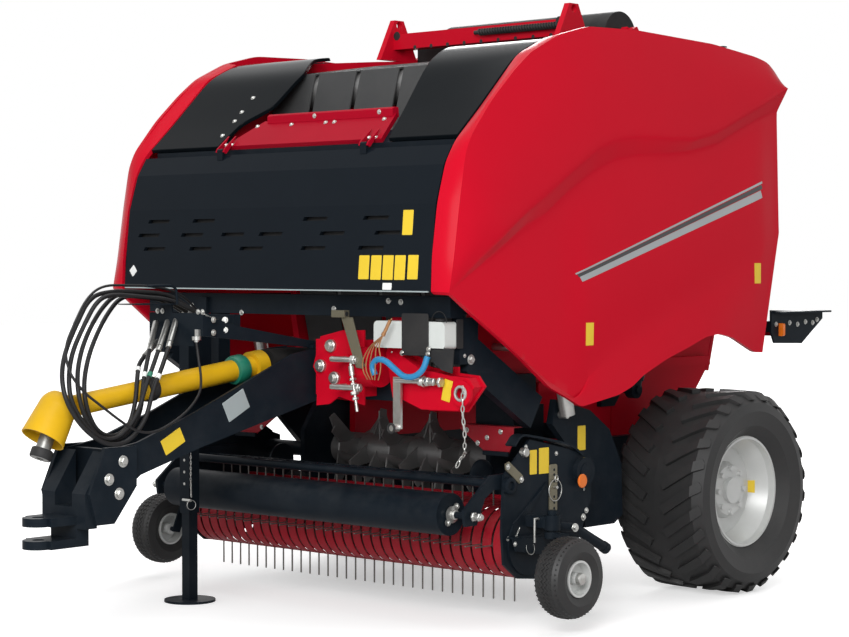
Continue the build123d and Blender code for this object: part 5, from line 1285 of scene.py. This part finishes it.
class BALER_OT_top(bpy.types.Operator):
    """Black discs as painted shade in the top beam's holes, wrapped hose on the beam, a rail, bolts over the
    bonnet and on the tailgate's sides
    """
    bl_idname = "baler.top"
    bl_label = "Top and rear fittings"

    def execute(self, context):
        black, zinc, rear = Shape(), Shape(), Shape()
        # painted shade: flat black discs stand in for the dark inside of the beam's holes
        for x in np.linspace(-0.44, 0.52, 9):
            disc(black.add, (x, BEAM_FACE - HAIR, 2.905), AHEAD, 0.011, 0.0008, 18)
        disc(black.both, (0.575, BEAM_FACE - HAIR, 2.975), AHEAD, 0.024, 0.0008, 26)
        turn = np.linspace(0, 30 * 2 * np.pi, 420)
        helix = spread(np.linspace(0.05, 0.6, 420), 0.61 + 0.016 * np.cos(turn),
                       2.95 + 0.016 * np.sin(turn))
        black.add(sweep(helix, 0.0042 * circle(6), up=OUT))
        bar(black.add, (0.02, 0.61, 2.95), 0.592, 0.0115)
        piece("top_hose_and_hole_shade", black, "soft_black", 40)
        bolts(zinc.add, [(x, -0.716, 2.3155) for x in (-0.5, -0.455, 0.5, 0.545)], HINGE_WAY, 0.008)
        bolts(zinc.add, [(x, -0.612, 2.4085) for x in (-0.375, -0.13, 0.11, 0.17, 0.505)], HINGE_WAY,
              0.0075)
        bolts(zinc.add, [(x, -0.6002, 2.446) for x in (0.02, 0.46)], AHEAD, 0.0075)
        for y, z in ((-0.655, 2.3685), (-0.57, 2.446), (-0.52, 2.495), (-0.44, 2.573)):
            bolt(zinc.add, (-0.59, y, z), (0, -0.69, 0.72), 0.008)
        rail = [(-0.025, -0.02), (0.025, -0.02), (0.025, 0.018), (0.012, 0.028), (-0.02, 0.028)]
        # the rail takes the centre panel's red, darkened as painted shade
        piece("panel_rail", sweep([(-0.318, -0.575, 2.44), (0.546, -0.575, 2.44)], rail), "centre_red",
              bevel=0.003)
        piece("top_bolts", zinc, "zinc", 30)
        for y, z in ((1.895, 1.382), (1.96, 1.372), (2.03, 1.388), (2.11, 1.378), (2.19, 1.39),
                     (2.265, 1.384), (2.31, 1.4)):
            bolt(rear.both, (1.0922, y, z), OUT, 0.009)
        piece("rear_bolts", rear, "zinc", 30, body="tailgate")
        return {"FINISHED"}


GATE_BACK = ((1.936, 1.22), (2.007, 1.465), (2.012, 1.6), (2.0155, 2.1), (2.0165, 2.34), (1.958, 2.6),
             (1.895, 2.69))
BACK = ((-1, 0, 0), UP)         # across and upward for a plate that faces backwards


class BALER_OT_rear(bpy.types.Operator):
    """Stiffening ribs and reflectors on the tailgate, lamps on its bracket"""
    bl_idname = "baler.rear"
    bl_label = "Rear fittings"

    def execute(self, context):
        ribs, amber, red = Shape(), Shape(), Shape()
        path = np.column_stack([np.full(40, 0.42), resample(GATE_BACK, 40)])
        ribs.both(sweep(path, [(-0.028, -0.003), (0.028, -0.003), (0.02, 0.01), (-0.02, 0.01)],
                        up=(0, 1, 0)))
        ribs.both(slab(rounded(0.3, 0.09, 0.012), (0.0, 2.011, 1.56), BACK, 0.008, 0.002))
        piece("gate_ribs", ribs, "frame_red", 40, body="tailgate")
        amber.both(slab(rounded(0.058, 0.07, 0.01), (1.092, 1.9225, 1.352), BACK, 0.026, 0.006))
        red.both(slab(rounded(0.096, 0.07, 0.01), (1.01, 1.9225, 1.352), BACK, 0.026, 0.006))
        red.both(lathe([(0.034, 0), (0.034, 0.006), (0.03, 0.009), (0.01, 0.01)], (0.54, 1.9745, 1.35),
                       (0, 0.96, -0.28), 28))
        piece("rear_lamps_amber", amber, "amber", 35, body="tailgate")
        piece("rear_lamps_red", red, "band_red", 35, body="tailgate")
        return {"FINISHED"}


# ---- panel and registration ----
OPERATORS = (
    BALER_OT_stage, BALER_OT_finishes, BALER_OT_cords, BALER_OT_mouldings, BALER_OT_plates, BALER_OT_gear,
    BALER_OT_pickup, BALER_OT_wheels, BALER_OT_shaft, BALER_OT_fittings, BALER_OT_intake, BALER_OT_top,
    BALER_OT_rear,
)


class BALER_PT_sidebar(bpy.types.Panel):
    bl_idname = "BALER_PT_sidebar"
    bl_label = "Round baler"
    bl_space_type = "VIEW_3D"
    bl_region_type = "UI"
    bl_category = "Baler"

    def draw(self, context):
        layout = self.layout
        for group in (context.scene.baler_paint, context.scene.baler_stage):
            for name in group.bl_rna.properties.keys():
                if name not in ("rna_type", "name"):
                    layout.prop(group, name)
        for operator in OPERATORS:
            layout.operator(operator.bl_idname)


CLASSES = (BALER_PG_paint, BALER_PG_stage, *OPERATORS, BALER_PT_sidebar)


def register():
    for item in CLASSES:
        bpy.utils.register_class(item)
    bpy.types.Scene.baler_paint = PointerProperty(type=BALER_PG_paint)
    bpy.types.Scene.baler_stage = PointerProperty(type=BALER_PG_stage)


def unregister():
    del bpy.types.Scene.baler_paint
    del bpy.types.Scene.baler_stage
    for item in reversed(CLASSES):
        bpy.utils.unregister_class(item)


def main():
    register()
    for operator in OPERATORS:
        group, name = operator.bl_idname.split(".")
        getattr(getattr(bpy.ops, group), name)()
    {"cad": CAD_BOX, "visual": [list(corner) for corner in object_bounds()]}


if __name__ == "__main__":
    main()
